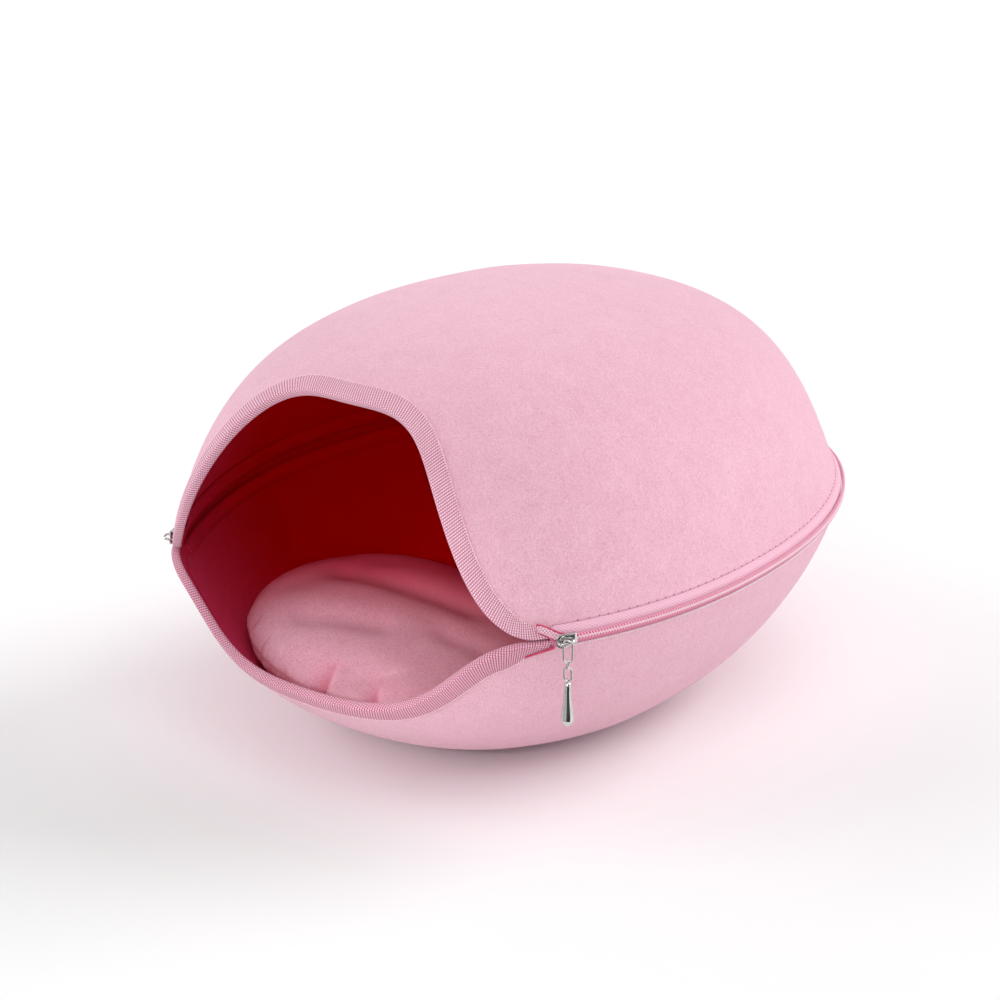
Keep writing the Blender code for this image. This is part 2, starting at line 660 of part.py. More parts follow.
def cushion(paint, collection):
    """A round pillow with a crowned top, leaning on the left wall, whose rim is drawn in by tucks."""
    columns, layers = TUCK_COLUMNS * CUSHION_TUCKS, CUSHION_LAYERS
    azimuth = np.arange(columns) * 2 * math.pi / columns
    height = np.linspace(-math.pi / 2, math.pi / 2, 2 * layers + 1)[1:-1, None]
    radial = np.abs(np.cos(height)) ** (2 / CUSHION_SQUARE)
    share = np.sin(height)
    tuck = (0.5 + 0.5 * np.cos(CUSHION_TUCKS * azimuth)) ** 3 * TUCK_DEPTH
    near_rim = np.clip((radial - TUCK_START) / (1 - TUCK_START), 0, 1)
    reach = CUSHION_RADIUS * radial - tuck * near_rim
    x = CUSHION_MIDDLE[0] + reach * np.cos(azimuth)
    y = CUSHION_MIDDLE[1] + reach * np.sin(azimuth)
    under, upright = felt_under(x, y)
    clear = CUSHION_CLEAR * np.clip((1 - upright) / WALL_UPRIGHT, 0.1, 1)
    lowest = under + GAP + clear / upright
    tilt = -CUSHION_TILT * (x - CUSHION_MIDDLE[0])
    edge = np.maximum(CUSHION_EDGE + tilt, lowest[layers - 1] + CUSHION_LEAST)
    top = edge + (CUSHION_CROWN + tilt - edge) * share
    z = np.maximum(np.where(share > 0, top, edge + (edge - FELT) * share), lowest)
    floor = FELT + 2 * GAP
    poles = [(*CUSHION_MIDDLE, floor), (*CUSHION_MIDDLE, CUSHION_CROWN)]
    sheet = np.stack([x, y, z], -1)
    points = np.concatenate([sheet.reshape(-1, 3), poles])
    faces = split(points, grid_faces(len(sheet), columns, True))
    faces += fan(np.arange(columns), len(points) - 2, True)
    last = (len(sheet) - 1) * columns
    faces += fan(np.arange(last, last + columns), len(points) - 1, False)
    return add_mesh("cushion", points, faces, paint, collection)


# ---------------------------------------------------------------- assembly


def main():
    for old in list(bpy.data.objects):
        bpy.data.objects.remove(old)
    cave = bpy.data.collections.new("felt_cat_cave")
    helpers = bpy.data.collections.new("cutters")
    bpy.context.scene.collection.children.link(cave)
    bpy.context.scene.collection.children.link(helpers)

    felt = material("felt", (0.90, 0.52, 0.64), 0.95)
    webbing = material("webbing", (0.84, 0.42, 0.55), 0.85)
    nylon = material("nylon_coil", (0.78, 0.25, 0.42), 0.45)
    chrome = material("chrome", (0.80, 0.80, 0.80), 0.12, 1.0)
    fleece = material("fleece", (0.80, 0.40, 0.50), 0.95)

    felt_shell("upper_shell", DOME, ARCH, DOME_ROWS, felt, cave)
    felt_shell("lower_shell", BOWL, LIP, BOWL_ROWS, felt, cave)
    mouth_binding("upper_mouth_binding", DOME, ARCH, webbing, cave)
    mouth_binding("lower_mouth_binding", BOWL, LIP, webbing, cave)
    zip_tape("upper_zip_tape", DOME, webbing, cave)
    zip_tape("lower_zip_tape", BOWL, webbing, cave)
    zip_coil("upper_zip_coil", DOME, nylon, cave)
    zip_coil("lower_zip_coil", BOWL, nylon, cave)
    zip_slider("zip_slider_right", 1, SLIDER_DROOP, chrome, cave, helpers)
    zip_slider("zip_slider_left", -1, 0.0, chrome, cave, helpers)
    zip_pull(chrome, cave, helpers)
    cushion(fleece, cave)


main()
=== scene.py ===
"""The felt cat cave, dressed: felt walls, woven mouth tape, zip with its coil, metal pull and cushion.

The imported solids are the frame. The shells' plan, profile, settled places and mouth edges are the
formulas of the part's own source, so every piece here lies where its solid lies. Lengths are in
metres. Angles around the cave run counterclockwise seen from above, from the mouth's middle.
"""

import math
from collections import namedtuple

import bpy
import numpy as np
from mathutils import Matrix, Vector


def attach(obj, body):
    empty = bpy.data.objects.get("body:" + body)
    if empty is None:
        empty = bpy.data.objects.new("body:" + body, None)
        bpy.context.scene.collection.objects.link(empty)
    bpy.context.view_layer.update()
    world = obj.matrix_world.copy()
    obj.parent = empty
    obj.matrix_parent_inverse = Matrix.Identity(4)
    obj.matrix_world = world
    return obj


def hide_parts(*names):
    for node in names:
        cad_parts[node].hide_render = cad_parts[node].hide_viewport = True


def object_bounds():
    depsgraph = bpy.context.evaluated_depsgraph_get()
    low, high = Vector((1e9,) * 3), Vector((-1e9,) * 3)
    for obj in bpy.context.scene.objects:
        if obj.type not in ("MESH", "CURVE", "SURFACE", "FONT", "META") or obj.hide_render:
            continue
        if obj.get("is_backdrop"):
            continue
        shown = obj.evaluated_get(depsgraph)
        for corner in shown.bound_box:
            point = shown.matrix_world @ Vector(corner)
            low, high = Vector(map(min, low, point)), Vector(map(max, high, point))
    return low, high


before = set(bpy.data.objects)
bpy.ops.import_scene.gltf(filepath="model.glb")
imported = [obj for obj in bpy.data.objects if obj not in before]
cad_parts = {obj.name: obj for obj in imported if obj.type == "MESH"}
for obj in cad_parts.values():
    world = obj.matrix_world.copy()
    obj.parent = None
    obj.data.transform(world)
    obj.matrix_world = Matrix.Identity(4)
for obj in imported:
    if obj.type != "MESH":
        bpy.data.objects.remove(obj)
cad_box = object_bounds()

# ---------------------------------------------------------------- sizes shared with the solids

GAP = 0.0003  # between pieces that touch
SEAM_HEIGHT = 0.120  # zip above the floor
HALF_LENGTH = 0.240  # seam ridge, middle to back
HALF_WIDTH = 0.183  # seam ridge, middle to side
PLAN_POWER = 2.16  # superellipse exponent of the plan
EGG_TAPER = 0.053  # share by which the plan is wider at the mouth and narrower at the back
FELT = 0.0034  # wall thickness of both shells

# One row for each shell. rise: +1 builds up from the seam, -1 down. rim: from the seam to the
# felt's edge. reach: from the seam to the crown or base. rim_scale: plan scale of the felt's edge.
# lean and shoulder: the first Bezier handle's scale and height share. broad: the second handle's
# scale. flat: plan scale where the profile ends. tip: how far the end is set towards the mouth.
Shell = namedtuple("Shell", "rise rim reach rim_scale lean shoulder broad flat tip")
DOME = Shell(1, 0.0065, 0.139, 0.974, 0.876, 0.51, 0.77, 0.0, 0.007)
BOWL = Shell(-1, 0.0058, 0.120, 0.985, 0.916, 0.49, 0.66, 0.31, 0.0)

# The mouth's cut edges, seen from the front: a bell curve from the corner to the middle.
# corner_gap: height of the cut edge over or under the seam at the corners. middle: at the middle.
# spread and steep shape the bell. leg and leg_side: how far the tape laps onto the felt outside,
# at the middle and at the sides.
Mouth = namedtuple("Mouth", "corner_gap middle spread steep leg leg_side")
ARCH = Mouth(0.0029, 0.1095, 1.74, 1.20, 0.0105, 0.0086)
LIP = Mouth(0.0028, 0.0570, 2.18, 1.30, 0.0098, 0.0098)
MOUTH_CORNER = math.radians(49.5)  # each side of the middle
CORNER_STEP = math.radians(0.45)  # where the felt's edge steps back up to its rim

# Where the soft felt has settled out of its moulded shape. angle: middle of the place. width: its
# spread along the seam. level: its height over the seam. above and below: its spread in height.
# slip: towards the mouth's middle. inward: into the cave. sag: down.
Settled = namedtuple("Settled", "angle width level above below slip inward sag")
PLACES = (
    Settled(math.radians(-50), math.radians(24), 0.0, 0.028, 0.036, 0.0073, 0.0, 0.0095),
    Settled(math.radians(-38), math.radians(22), -0.022, 0.028, 0.036, 0.0, 0.0075, 0.0),
    Settled(math.radians(44), math.radians(11), 0.0, 0.010, 0.008, 0.0, 0.0, 0.0015),
)

BINDING = 0.0008  # thickness of the folded mouth tape
BINDING_INNER_LEG = 0.008
BINDING_GAP = 0.0003  # outside the felt
BINDING_INNER_GAP = 0.0005
FOLD_DEPTH = 0.0016  # from the cut edge to the middle of the folded tape
FOLD_CLEAR = 0.0007  # from the seam to the middle of the tape where both tapes meet

TAPE = 0.0010  # thickness of the zip tape
TAPE_LAP = 0.050  # share of the profile that the tape runs up inside the felt
TAPE_START = math.radians(1.5)  # past the mouth's corner
COIL_RADIUS = 0.0011
COIL_HEIGHT = 0.00125  # each half chain above or below the seam
COIL_START = math.radians(1.6)

SLIDER_LENGTH = 0.0130
SLIDER_HEIGHT = 0.0086
SLIDER_PLATE = 0.0012
SLIDER_NOSE = 0.0036  # radius of the rounded nose, where the lips start
SLIDER_POST = (0.0010, 0.0026)  # from the nose's tip, the post's two ends
POST_HALF = 0.0006
LIP_DEPTH = 0.0009  # how far the lips reach in past the seam ridge
LIP_WALL = 0.0009
INNER_PLATE = 0.0011
INNER_HALF = 0.0012
INNER_SHORT = 0.0030  # the inner plate ends this much before the tail
SLIDER_AHEAD = math.radians(0.55)  # from the corner to the slider's nose
SLIDER_DROOP = math.radians(5)  # the right slider's nose, tipped down by its pull
PLATE_OUT = 0.0014  # seam ridge to the outer plate
PLATE_IN = 0.0028  # seam ridge to the inner plate
CROWN_REACH = 0.0036  # crown bar's middle, out from the outer plate
CROWN_SPAN = 0.0086
CROWN_BAR = 0.0007  # radius
CROWN_AHEAD = 0.0010  # the crown's middle, from the slider's middle towards its nose
CROWN_SUNK = 0.0004  # how far its feet run into the plate
PULL_YAW = math.radians(50)  # the loop turned from the slider's outward direction
PULL_SLACK = 0.0005  # between the crown's bar and the loop that hangs on it
LINK_WIRE = 0.0005  # radius, of the link and the ring
LOOP_WIRE = 0.00055  # radius
Oval = namedtuple("Oval", "name half_width half_height wire faces_out")
CHAIN = (
    Oval("pull_loop", 0.0026, 0.00665, LOOP_WIRE, True),
    Oval("pull_link", 0.00155, 0.0027, LINK_WIRE, False),
    Oval("pull_ring", 0.0021, 0.0040, LINK_WIRE, True),
)
DROP_EYE = 0.00095  # radius

CUSHION_RADIUS = 0.109
CUSHION_MIDDLE = (-0.022, -0.073)
CUSHION_CROWN = 0.0715  # height of the crown's middle
CUSHION_EDGE = 0.012  # height of the rim seam's plane at the middle
CUSHION_TILT = 0.27  # slope up towards the left wall
CUSHION_SQUARE = 2.32  # how full the crown's section is
CUSHION_LEAST = 0.0025  # least height of the rim seam over the felt under it
CUSHION_CLEAR = 0.0015  # off the felt walls
WALL_UPRIGHT = 0.05  # how far the felt leans off level before the full clearance is kept

# ---------------------------------------------------------------- sizes of what is only seen here

SLOPE_STEP = 1e-4  # in angle and along the profile, to take slopes over
HALVINGS = 40  # steps of halving
NEWTON_STEPS = 25
FINE_COLUMNS = 561  # points that the mouth's edge is measured on
FELT_COLUMNS = (170, 250)  # steps through the mouth, and round the back
FELT_ROWS = 61
ROW_CROWDING = 1.15  # the power by which the rows lie closer at the felt's edge
LAST_ROW = 0.993  # where the dome's rows end, just short of the crown
EDGE_ROUND = 0.0007  # how far the felt's cut edge is rounded over
RIPPLE = 0.0004  # the felt's slow unevenness
FIBRES, STRANDS, MOTTLE, CLOUD = 1350, 640, 70, 7  # the felt's noises, features for each metre
SPECKS = 34.0  # the same for the darker fibre ends
SPECK_SIZE = 0.013  # their radius, as a share of one feature
SPECK_RARE = 0.72  # share of the features that have none

TAPE_COLUMNS = 420  # steps along a mouth tape
LEG_END = 0.0030  # the mouth tape's lap at its pinched ends
LEG_TAPER = math.radians(8.0)  # the stretch before the corner where it narrows
LEG_SWELL = 0.0003  # how far the lap rises between its stitching and the fold
RIB_PITCH = 0.00163  # along the mouth tape
FLOAT_PITCH = 0.00118  # of one rib's raised threads, across the tape
RIB_SLANT = -0.33  # how far the ribs lean along the tape, for each metre across

ZIP_COLUMNS = 301  # points along a zip tape
# Its rows, in corners from the coil: those out to the felt's edge, and those inside the felt.
SHOWN_ROWS = (0, 0.5, 0.9, 1.06, 1.2, 1.35, 1.5, 1.65, 1.8, 1.92, 2.0, 2.1, 2.5)
LAPPED_ROWS = (2.9, 3.1, 3.5, 4.0)
TAPE_MEET = 0.0001  # from the seam to the zip tape's edge behind the coil
ZIP_START = math.radians(0.2)  # from the mouth's corner to the zip tape's cut end
TAPE_ROLL = 0.0008  # how far the upper zip tape bulges between the coil and the felt
TWILL_PITCH = 0.0025  # of the zip tape's slanted rows
TWILL_SLANT = 1.6  # how far they lean along the tape, for each metre across
COIL_PITCH = 0.00184  # from one turn of the coil to the next
COIL_WIRE = 0.00034  # radius
COIL_MESH = 0.0010  # how far each half's turns reach across the seam
COIL_CORD = 0.00055  # radius of the cord inside the turns
COIL_LEAN = 0.25  # how far each turn leans along the seam, in turns
TURN_STEPS = 8  # points in one turn of the coil
RIDGE_STEPS = 1200  # points along the seam's ridge that the coil follows

STRIP = 0.0006  # thickness of the strips at the mouth's right corner
STRIP_CROWN = 0.0004  # how far their middle stands out
END_FROM, END_TO = math.radians(47.6), math.radians(51.6)  # the zip tape's folded end, along the seam
END_HIGH, END_LOW = 0.0070, 0.0016  # its two ends' heights over the seam
END_IN, END_OUT = -0.0034, 0.0010  # and how far they lie out from it
END_WIDTH = 0.0038
END_PITCH = 0.0015  # of its weave
FOLD_WIDTH = 0.0054  # a red strip of painted shadow under that end
FOLD_SUNK = 0.0006  # how far it lies in from the end
CREASE_FROM, CREASE_TO = math.radians(45.4), math.radians(50.1)  # a red strip of painted shadow where the lip's tape ends
CREASE_UNDER, CREASE_OVER = 0.016, -0.010  # where it starts and ends on the bowl's profile
CREASE_WIDTH = (0.0005, 0.0018)  # at its two ends
CREASE_LIFT = 0.0015  # from the bowl's face out

# jitter: how unevenly the stitches are spaced, as a share of the pitch
Stitch = namedtuple("Stitch", "pitch length radius jitter")
MOUTH_STITCH = Stitch(RIB_PITCH, 0.0012, 0.00036, 0.0)
EDGE_STITCH = Stitch(COIL_PITCH, 0.0009, 0.00058, 0.04)
# Dark dots of painted shade in the needle holes along the dome's edge.
NEEDLE_HOLE = Stitch(0.0066, 0.0008, 0.00032, 0.12)
STITCH_SUNK = 0.5  # how far a stitch dips just before its ends, in thread radii
STITCH_IN = 0.0003  # from the mouth tape's edge to its stitching
STITCH_PROUD = 0.0001  # how far the stitching's line stands over the tape
STITCHLESS = 14  # points of a mouth tape without stitching, at each end
EDGE_ROW = (-0.0004, 0.0004)  # up the felt from its rim, and out of it
NEEDLE_ROW = (0.0006, 0.00002)
EDGE_STEPS, EDGE_SPARED = 900, 8  # steps along the felt's rim, those at each end without sewing

LIP_SHORT = 0.0003  # the slider's lips end this much before its tail
INNER_START = 0.0002  # from the nose's tip to the inner plate
POST_MIDDLE, POST_DEEP = -0.0005, 0.0025  # the post's middle out from the ridge, half its depth
PLATE_ROUND = 0.45  # how round a plate's section is: 1 for an ellipse, 0 for a box
DROP = (  # the drop's outline: distance below the middle of its eye, radius
    (0.0006, 0.0009), (0.0014, 0.0017), (0.0035, 0.00205), (0.0080, 0.0022), (0.0130, 0.0026),
    (0.0175, 0.0032), (0.0210, 0.0036), (0.0235, 0.00355), (0.0255, 0.0027), (0.0268, 0.0013),
    (0.0272, 0.0002),
)
EYE_WIRE = 0.00045  # radius

CUSHION_COLUMNS, CUSHION_LAYERS = 120, 16  # steps round it, and from its seam to either pole
CUSHION_SHRINK = 0.0015  # how much smaller the cover starts, before it is blown up
CUSHION_VOXEL = 0.005  # of the even mesh that is blown up
CUSHION_PRESSURE = 4.0
CUSHION_FRAMES = 20
SEAM_SUNK = 0.0012  # how far the cover's seam is drawn in
SEAM_WIDE = 0.0016
SEAM_FROM = 0.9  # share of the radius where that starts
TUCK_LEAN = (1.7, 0.75)  # how much steeper a tuck is counterclockwise of its middle, and clockwise
TUCKS = (  # azimuth round the cushion from +X, depth, width, length
    (math.radians(-84), 0.0095, 0.0032, 0.027),
    (math.radians(-65), 0.0090, 0.0032, 0.025),
    (math.radians(-45), 0.0026, 0.0050, 0.018),
    (math.radians(-24), 0.0030, 0.0040, 0.016),
    (math.radians(-2), 0.0035, 0.0045, 0.018),
    (math.radians(21), 0.0028, 0.0040, 0.016),
    (math.radians(40), 0.0038, 0.0045, 0.019),
    (math.radians(63), 0.0026, 0.0040, 0.015),
    (math.radians(82), 0.0034, 0.0045, 0.018),
    (math.radians(104), 0.0028, 0.0040, 0.016),
    (math.radians(124), 0.0032, 0.0045, 0.017),
    (math.radians(147), 0.0022, 0.0040, 0.014),
    (math.radians(168), 0.0020, 0.0040, 0.014),
    (math.radians(190), 0.0016, 0.0040, 0.014),
    (math.radians(213), 0.0018, 0.0035, 0.015),
    (math.radians(230), 0.0026, 0.0035, 0.016),
    (math.radians(243), 0.0030, 0.0035, 0.016),
    (math.radians(259), 0.0024, 0.0040, 0.015),
)
FOLDS = (  # start and end over the plan, width, depth
    ((-0.071, -0.080), (-0.002, -0.050), 0.0125, 0.0044),
    ((-0.054, -0.137), (-0.020, -0.113), 0.0110, 0.0032),
    ((0.012, -0.085), (0.052, -0.072), 0.0100, 0.0022),
    ((-0.085, -0.110), (-0.070, -0.050), 0.0110, 0.0018),
)

# ---------------------------------------------------------------- what each half is dressed with

# which: how its names start. tape_cut: length of its mouth tape. webbing: the mouth tape's paint
# and its gap, body and crest. twill: the zip tape's paint, gap and crest. nylon: the coil's paint
# and its shades from the heads to the back, with a painted highlight at the heads.
Half = namedtuple("Half", "shell mouth which tape_cut webbing twill nylon")
COIL_HEAD_HIGHLIGHT = (1.0, 0.92, 0.95)  # painted highlight on the turns' heads
HALVES = (
    Half(
        DOME, ARCH, "upper", 0.50,
        ("arch_webbing", (0.52, 0.08, 0.19), (0.86, 0.40, 0.53), (1.0, 0.74, 0.84)),
        ("zip_twill", (0.82, 0.40, 0.54), (0.95, 0.60, 0.72)),
        ("coil_nylon", COIL_HEAD_HIGHLIGHT, (0.98, 0.66, 0.77), (0.92, 0.46, 0.60)),
    ),
    # The lower half's mouth tape, zip tape and coil are darker copies of the upper's: painted shade.
    Half(
        BOWL, LIP, "lower", 0.37,
        ("lip_webbing", (0.42, 0.05, 0.14), (0.74, 0.28, 0.40), (0.94, 0.58, 0.69)),
        ("zip_twill_shaded", (0.60, 0.13, 0.26), (0.84, 0.33, 0.47)),
        ("coil_nylon_under", COIL_HEAD_HIGHLIGHT, (0.97, 0.64, 0.75), (0.76, 0.21, 0.34)),
    ),
)

# ---------------------------------------------------------------- light and view

FLOOR_REACH = 30.0  # so far that no edge of it shows
FLOOR_SHADE = 0.93
SURROUND = 0.22  # brightness of the plain white surround
LAMP_SPREAD = math.radians(45)  # across each far lamp, seen from the cave
LAMPS = (  # name, azimuth counterclockwise from the mouth's middle, height, power
    ("front", math.radians(20), math.radians(25), 0.90),
    ("left", math.radians(-60), math.radians(25), 1.12),
    ("back_left", math.radians(-110), math.radians(25), 0.55),
    ("high_right", math.radians(60), math.radians(60), 0.62),
    ("back_right", math.radians(150), math.radians(25), 2.20),
    ("high_back", math.radians(-160), math.radians(60), 0.30),
)
SPOT_AT = (0.004, -0.080, 0.060)  # a small lamp shines in through the mouth
SPOT_TOWARD = (0.31, -0.85, 0.42)
SPOT_FAR = 1.2  # from the place that it shines at
SPOT_POWER, SPOT_RADIUS = 19, 0.04
SPOT_CONE = math.radians(9.6)  # from side to side
CARDS = (  # name, shade, first and last azimuth in degrees
    ("dark_card", 0.01, 22, 90),
    ("grey_card", 0.50, -50, 22),
)
CARD_AT = (0.15, -0.16, 0.001)  # the middle of the ring that the cards are cut from
CARD_NEAR, CARD_FAR = 0.10, 1.4  # its two radii

VIEW_TURN, VIEW_RISE = math.radians(38.0), math.radians(20.2)
VIEW_FAR = 1.625  # from the seam's middle
PHOTO_PIXELS = 1000  # the photograph's side
FOCAL_PIXELS = 2605  # focal length, in the photograph's pixels
SENSOR = 36  # millimetres across
VIEW_SHIFT = (-0.01946, 0.00237)

# ---------------------------------------------------------------- the shells' surface


def signed_power(value, power):
    """The value's size to a power, with the value's own sign."""
    return np.sign(value) * np.abs(value) ** power


def unit(vectors):
    """The vectors at length 1."""
    return vectors / np.linalg.norm(vectors, axis=-1, keepdims=True)


def plan(angle):
    """The seam ridge: a superellipse, wider at the mouth and narrower at the back."""
    along = signed_power(-np.cos(angle), 2 / PLAN_POWER)
    across = signed_power(np.sin(angle), 2 / PLAN_POWER)
    return HALF_WIDTH * (1 - EGG_TAPER * along) * across, HALF_LENGTH * along


def profile(shell, v):
    """Plan scale, signed height and shift along Y on a cubic Bezier from the rim to the pole."""
    w = 1 - v
    b0, b1, b2, b3 = w**3, 3 * w * w * v, 3 * w * v * v, v**3
    scale = shell.rim_scale * (b0 + b1 * shell.lean + b2 * shell.broad) + b3 * shell.flat
    handle = shell.rim + shell.shoulder * (shell.reach - shell.rim)
    height = b0 * shell.rim + b1 * handle + (b2 + b3) * shell.reach
    return scale, shell.rise * height, -shell.tip * v * v


def moulded(shell, angle, v):
    """The plan scaled and lifted along the profile."""
    x, y = plan(angle)
    scale, height, shift = profile(shell, v)
    return np.stack([x * scale, y * scale + shift, SEAM_HEIGHT + height + 0 * x], -1)


def settled(points):
    """The points moved by every settled place, each a bell around its middle."""
    moved = points.copy()
    heading = np.arctan2(points[..., 0] / HALF_WIDTH, -points[..., 1] / HALF_LENGTH)
    for place in PLACES:
        over = points[..., 2] - SEAM_HEIGHT - place.level
        spread = np.where(over > 0, place.above, place.below)
        weight = np.exp(-(((heading - place.angle) / place.width) ** 2) - (over / spread) ** 2)
        side, ahead = math.sin(place.angle), math.cos(place.angle)
        to_middle = np.array([-ahead * np.sign(side), -abs(side), 0.0]) * place.slip
        inside = np.array([-side, ahead, 0.0]) * place.inward
        moved += weight[..., None] * (to_middle + inside + np.array([0.0, 0.0, -place.sag]))
    return moved


def surface(shell, angle, v):
    """Points of a shell's outer face: moulded, then settled."""
    return settled(moulded(shell, angle, v))


def slopes(shell, angle, v):
    """The surface's derivatives along the angle and along v, and its outward normal."""
    step = SLOPE_STEP
    around = (surface(shell, angle + step, v) - surface(shell, angle - step, v)) / (2 * step)
    onward = (surface(shell, angle, v + step) - surface(shell, angle, v - step)) / (2 * step)
    return around, onward, unit(np.cross(around, onward)) * shell.rise


def ridge(angle):
    """Points on the seam's ridge, its direction there and the outward direction."""

    def line(at):
        """The plan at the seam's height, settled."""
        x, y = plan(at)
        return settled(np.stack([x, y, SEAM_HEIGHT + 0 * x], -1))

    run = unit(line(angle + SLOPE_STEP) - line(angle - SLOPE_STEP))
    out = unit(np.stack([run[..., 1], -run[..., 0], 0 * run[..., 0]], -1))
    return line(angle), run, out


def halve(function, low, high, like):
    """Where a rising function of v crosses zero, by halving, one v for each entry of like."""
    low = np.full_like(like, low)
    high = np.full_like(like, high)
    for _ in range(HALVINGS):
        middle = (low + high) / 2
        above = function(middle) > 0
        high = np.where(above, middle, high)
        low = np.where(above, low, middle)
    return (low + high) / 2


def cut_edge(shell, mouth, angle):
    """v of the mouth's cut edge: where the height meets a bell of the distance from the middle."""
    corner_v = halve(
        lambda v: shell.rise * profile(shell, v)[1] - mouth.corner_gap, -0.1, 0.5, np.zeros(1)
    )
    corner_x = moulded(shell, np.array([MOUTH_CORNER]), corner_v)[0, 0]

    def over(v):
        """How far the moulded shell is past the bell's height."""
        point = moulded(shell, angle, v)
        share = np.clip(np.abs(point[..., 0]) / corner_x, 0, 1)
        bell = ((1 + np.cos(math.pi * share**mouth.spread)) / 2) ** mouth.steep
        wanted = mouth.corner_gap + (mouth.middle - mouth.corner_gap) * bell
        return shell.rise * (point[..., 2] - SEAM_HEIGHT) - wanted

    return halve(over, -0.1, 0.98, angle)


def mouth_columns(steps):
    """Meridians through the mouth, evenly spaced along the arch's cut edge."""
    fine = np.linspace(-MOUTH_CORNER, MOUTH_CORNER, FINE_COLUMNS)
    length = lengths(moulded(DOME, fine, cut_edge(DOME, ARCH, fine)))
    return np.interp(np.linspace(0, length[-1], steps + 1), length, fine)


def back_columns(steps):
    """Meridians round the back, evenly spaced from one end of the zip to the other."""
    start = MOUTH_CORNER + TAPE_START
    return np.linspace(start, 2 * math.pi - start, steps + 1)


def lengths(points):
    """Distance travelled along a line of points, from 0."""
    return np.concatenate([[0], np.linalg.norm(np.diff(points, axis=0), axis=1).cumsum()])


def at_lengths(at, travelled, values):
    """Points or directions given along a line, read off at other distances along it."""
    return np.stack([np.interp(at, travelled, values[:, i]) for i in range(3)], -1)


# ---------------------------------------------------------------- meshes


def piece(name, points, faces, paints, which=None, uv=None):
    """A smooth mesh object at the origin. which gives each face's paint, uv each point's place."""
    mesh = bpy.data.meshes.new(name)
    mesh.from_pydata(points.reshape(-1, 3), [], faces)
    for paint in paints:
        mesh.materials.append(paint)
    if which is not None:
        mesh.polygons.foreach_set("material_index", np.asarray(which, np.int32))
    if uv is not None:
        corner = np.empty(len(mesh.loops), np.int32)
        mesh.loops.foreach_get("vertex_index", corner)
        layer = mesh.uv_layers.new(name="cloth")
        layer.data.foreach_set("uv", uv.reshape(-1, 2)[corner].astype(np.float32).ravel())
    mesh.shade_smooth()
    mesh.update()
    made = bpy.data.objects.new(name, mesh)
    bpy.context.scene.collection.objects.link(made)
    return made


def grid_faces(rows, columns, closed, turned=False):
    """Quads of a grid of points stored row by row, wrapped round where it is closed."""
    row, column = np.meshgrid(
        np.arange(rows - 1), np.arange(columns if closed else columns - 1), indexing="ij"
    )
    beside = (column + 1) % columns
    quads = [row * columns + column, row * columns + beside]
    quads += [(row + 1) * columns + beside, (row + 1) * columns + column]
    quads = np.stack(quads, -1).reshape(-1, 4)
    return quads[:, ::-1] if turned else quads


def fan(ring, pole, after=False):
    """Triangles from a closed row of point numbers to a pole, before the first row or after the
    last."""
    beside = np.roll(ring, -1)
    pair = (ring, beside) if after else (beside, ring)
    return np.stack([*pair, ring * 0 + pole], -1)


def join(shapes):
    """Several (points, list of faces) as one."""
    points, faces, start = [], [], 0
    for some, their in shapes:
        points.append(some.reshape(-1, 3))
        faces += [[i + start for i in face] for face in their]
        start += points[-1].shape[0]
    return np.concatenate(points), faces


def bars(paths, across, radius, sides, closed=False, widen=1.0):
    """Round bars along many paths at once: circles in the plane across each path's direction.

    paths is (bars, steps, 3), across a direction off the path for each point, radius a number or
    an array that broadcasts to (bars, steps). widen stretches the circle along across.
    """
    ahead = np.roll(paths, -1, 1) - np.roll(paths, 1, 1)
    if not closed:
        ahead[:, 0] = paths[:, 1] - paths[:, 0]
        ahead[:, -1] = paths[:, -1] - paths[:, -2]
    ahead = unit(ahead)
    side = unit(np.cross(ahead, across))
    normal = np.cross(side, ahead)
    turn = np.arange(sides) * 2 * math.pi / sides
    radius = np.broadcast_to(radius, paths.shape[:2])[..., None, None]
    ring = np.cos(turn)[:, None] * side[..., None, :]
    ring = ring + np.sin(turn)[:, None] * widen * normal[..., None, :]
    points = paths[..., None, :] + ring * radius
    count, steps = paths.shape[:2]
    quads = grid_faces(steps + closed, sides, True)
    quads = np.where(quads >= steps * sides, quads - steps * sides, quads)
    starts = np.arange(count)[:, None, None] * steps * sides
    faces = (quads[None] + starts).reshape(-1, 4).tolist()
    if not closed:
        first = np.arange(sides)[None, ::-1] + starts[:, 0]
        last = np.arange(sides)[None] + (steps - 1) * sides + starts[:, 0]
        faces += first.tolist() + last.tolist()
    return points.reshape(-1, 3), faces


def loft(sections, turned=False):
    """Closed sections one after the other, (stations, points, 3), with flat ends."""
    stations, around = sections.shape[:2]
    faces = grid_faces(stations, around, True, turned).tolist()
    first, last = list(range(around)), list(range((stations - 1) * around, stations * around))
    faces += [first, last[::-1]] if turned else [first[::-1], last]
    return sections.reshape(-1, 3), faces


def walled(made, thickness):
    """Gives an open sheet its thickness, half to each side, and its back the next paint."""
    solid = made.modifiers.new("Thickness", "SOLIDIFY")
    solid.thickness = thickness
    solid.offset = 0.0
    solid.use_even_offset = True
    solid.material_offset = 1
    return made


# ---------------------------------------------------------------- paints


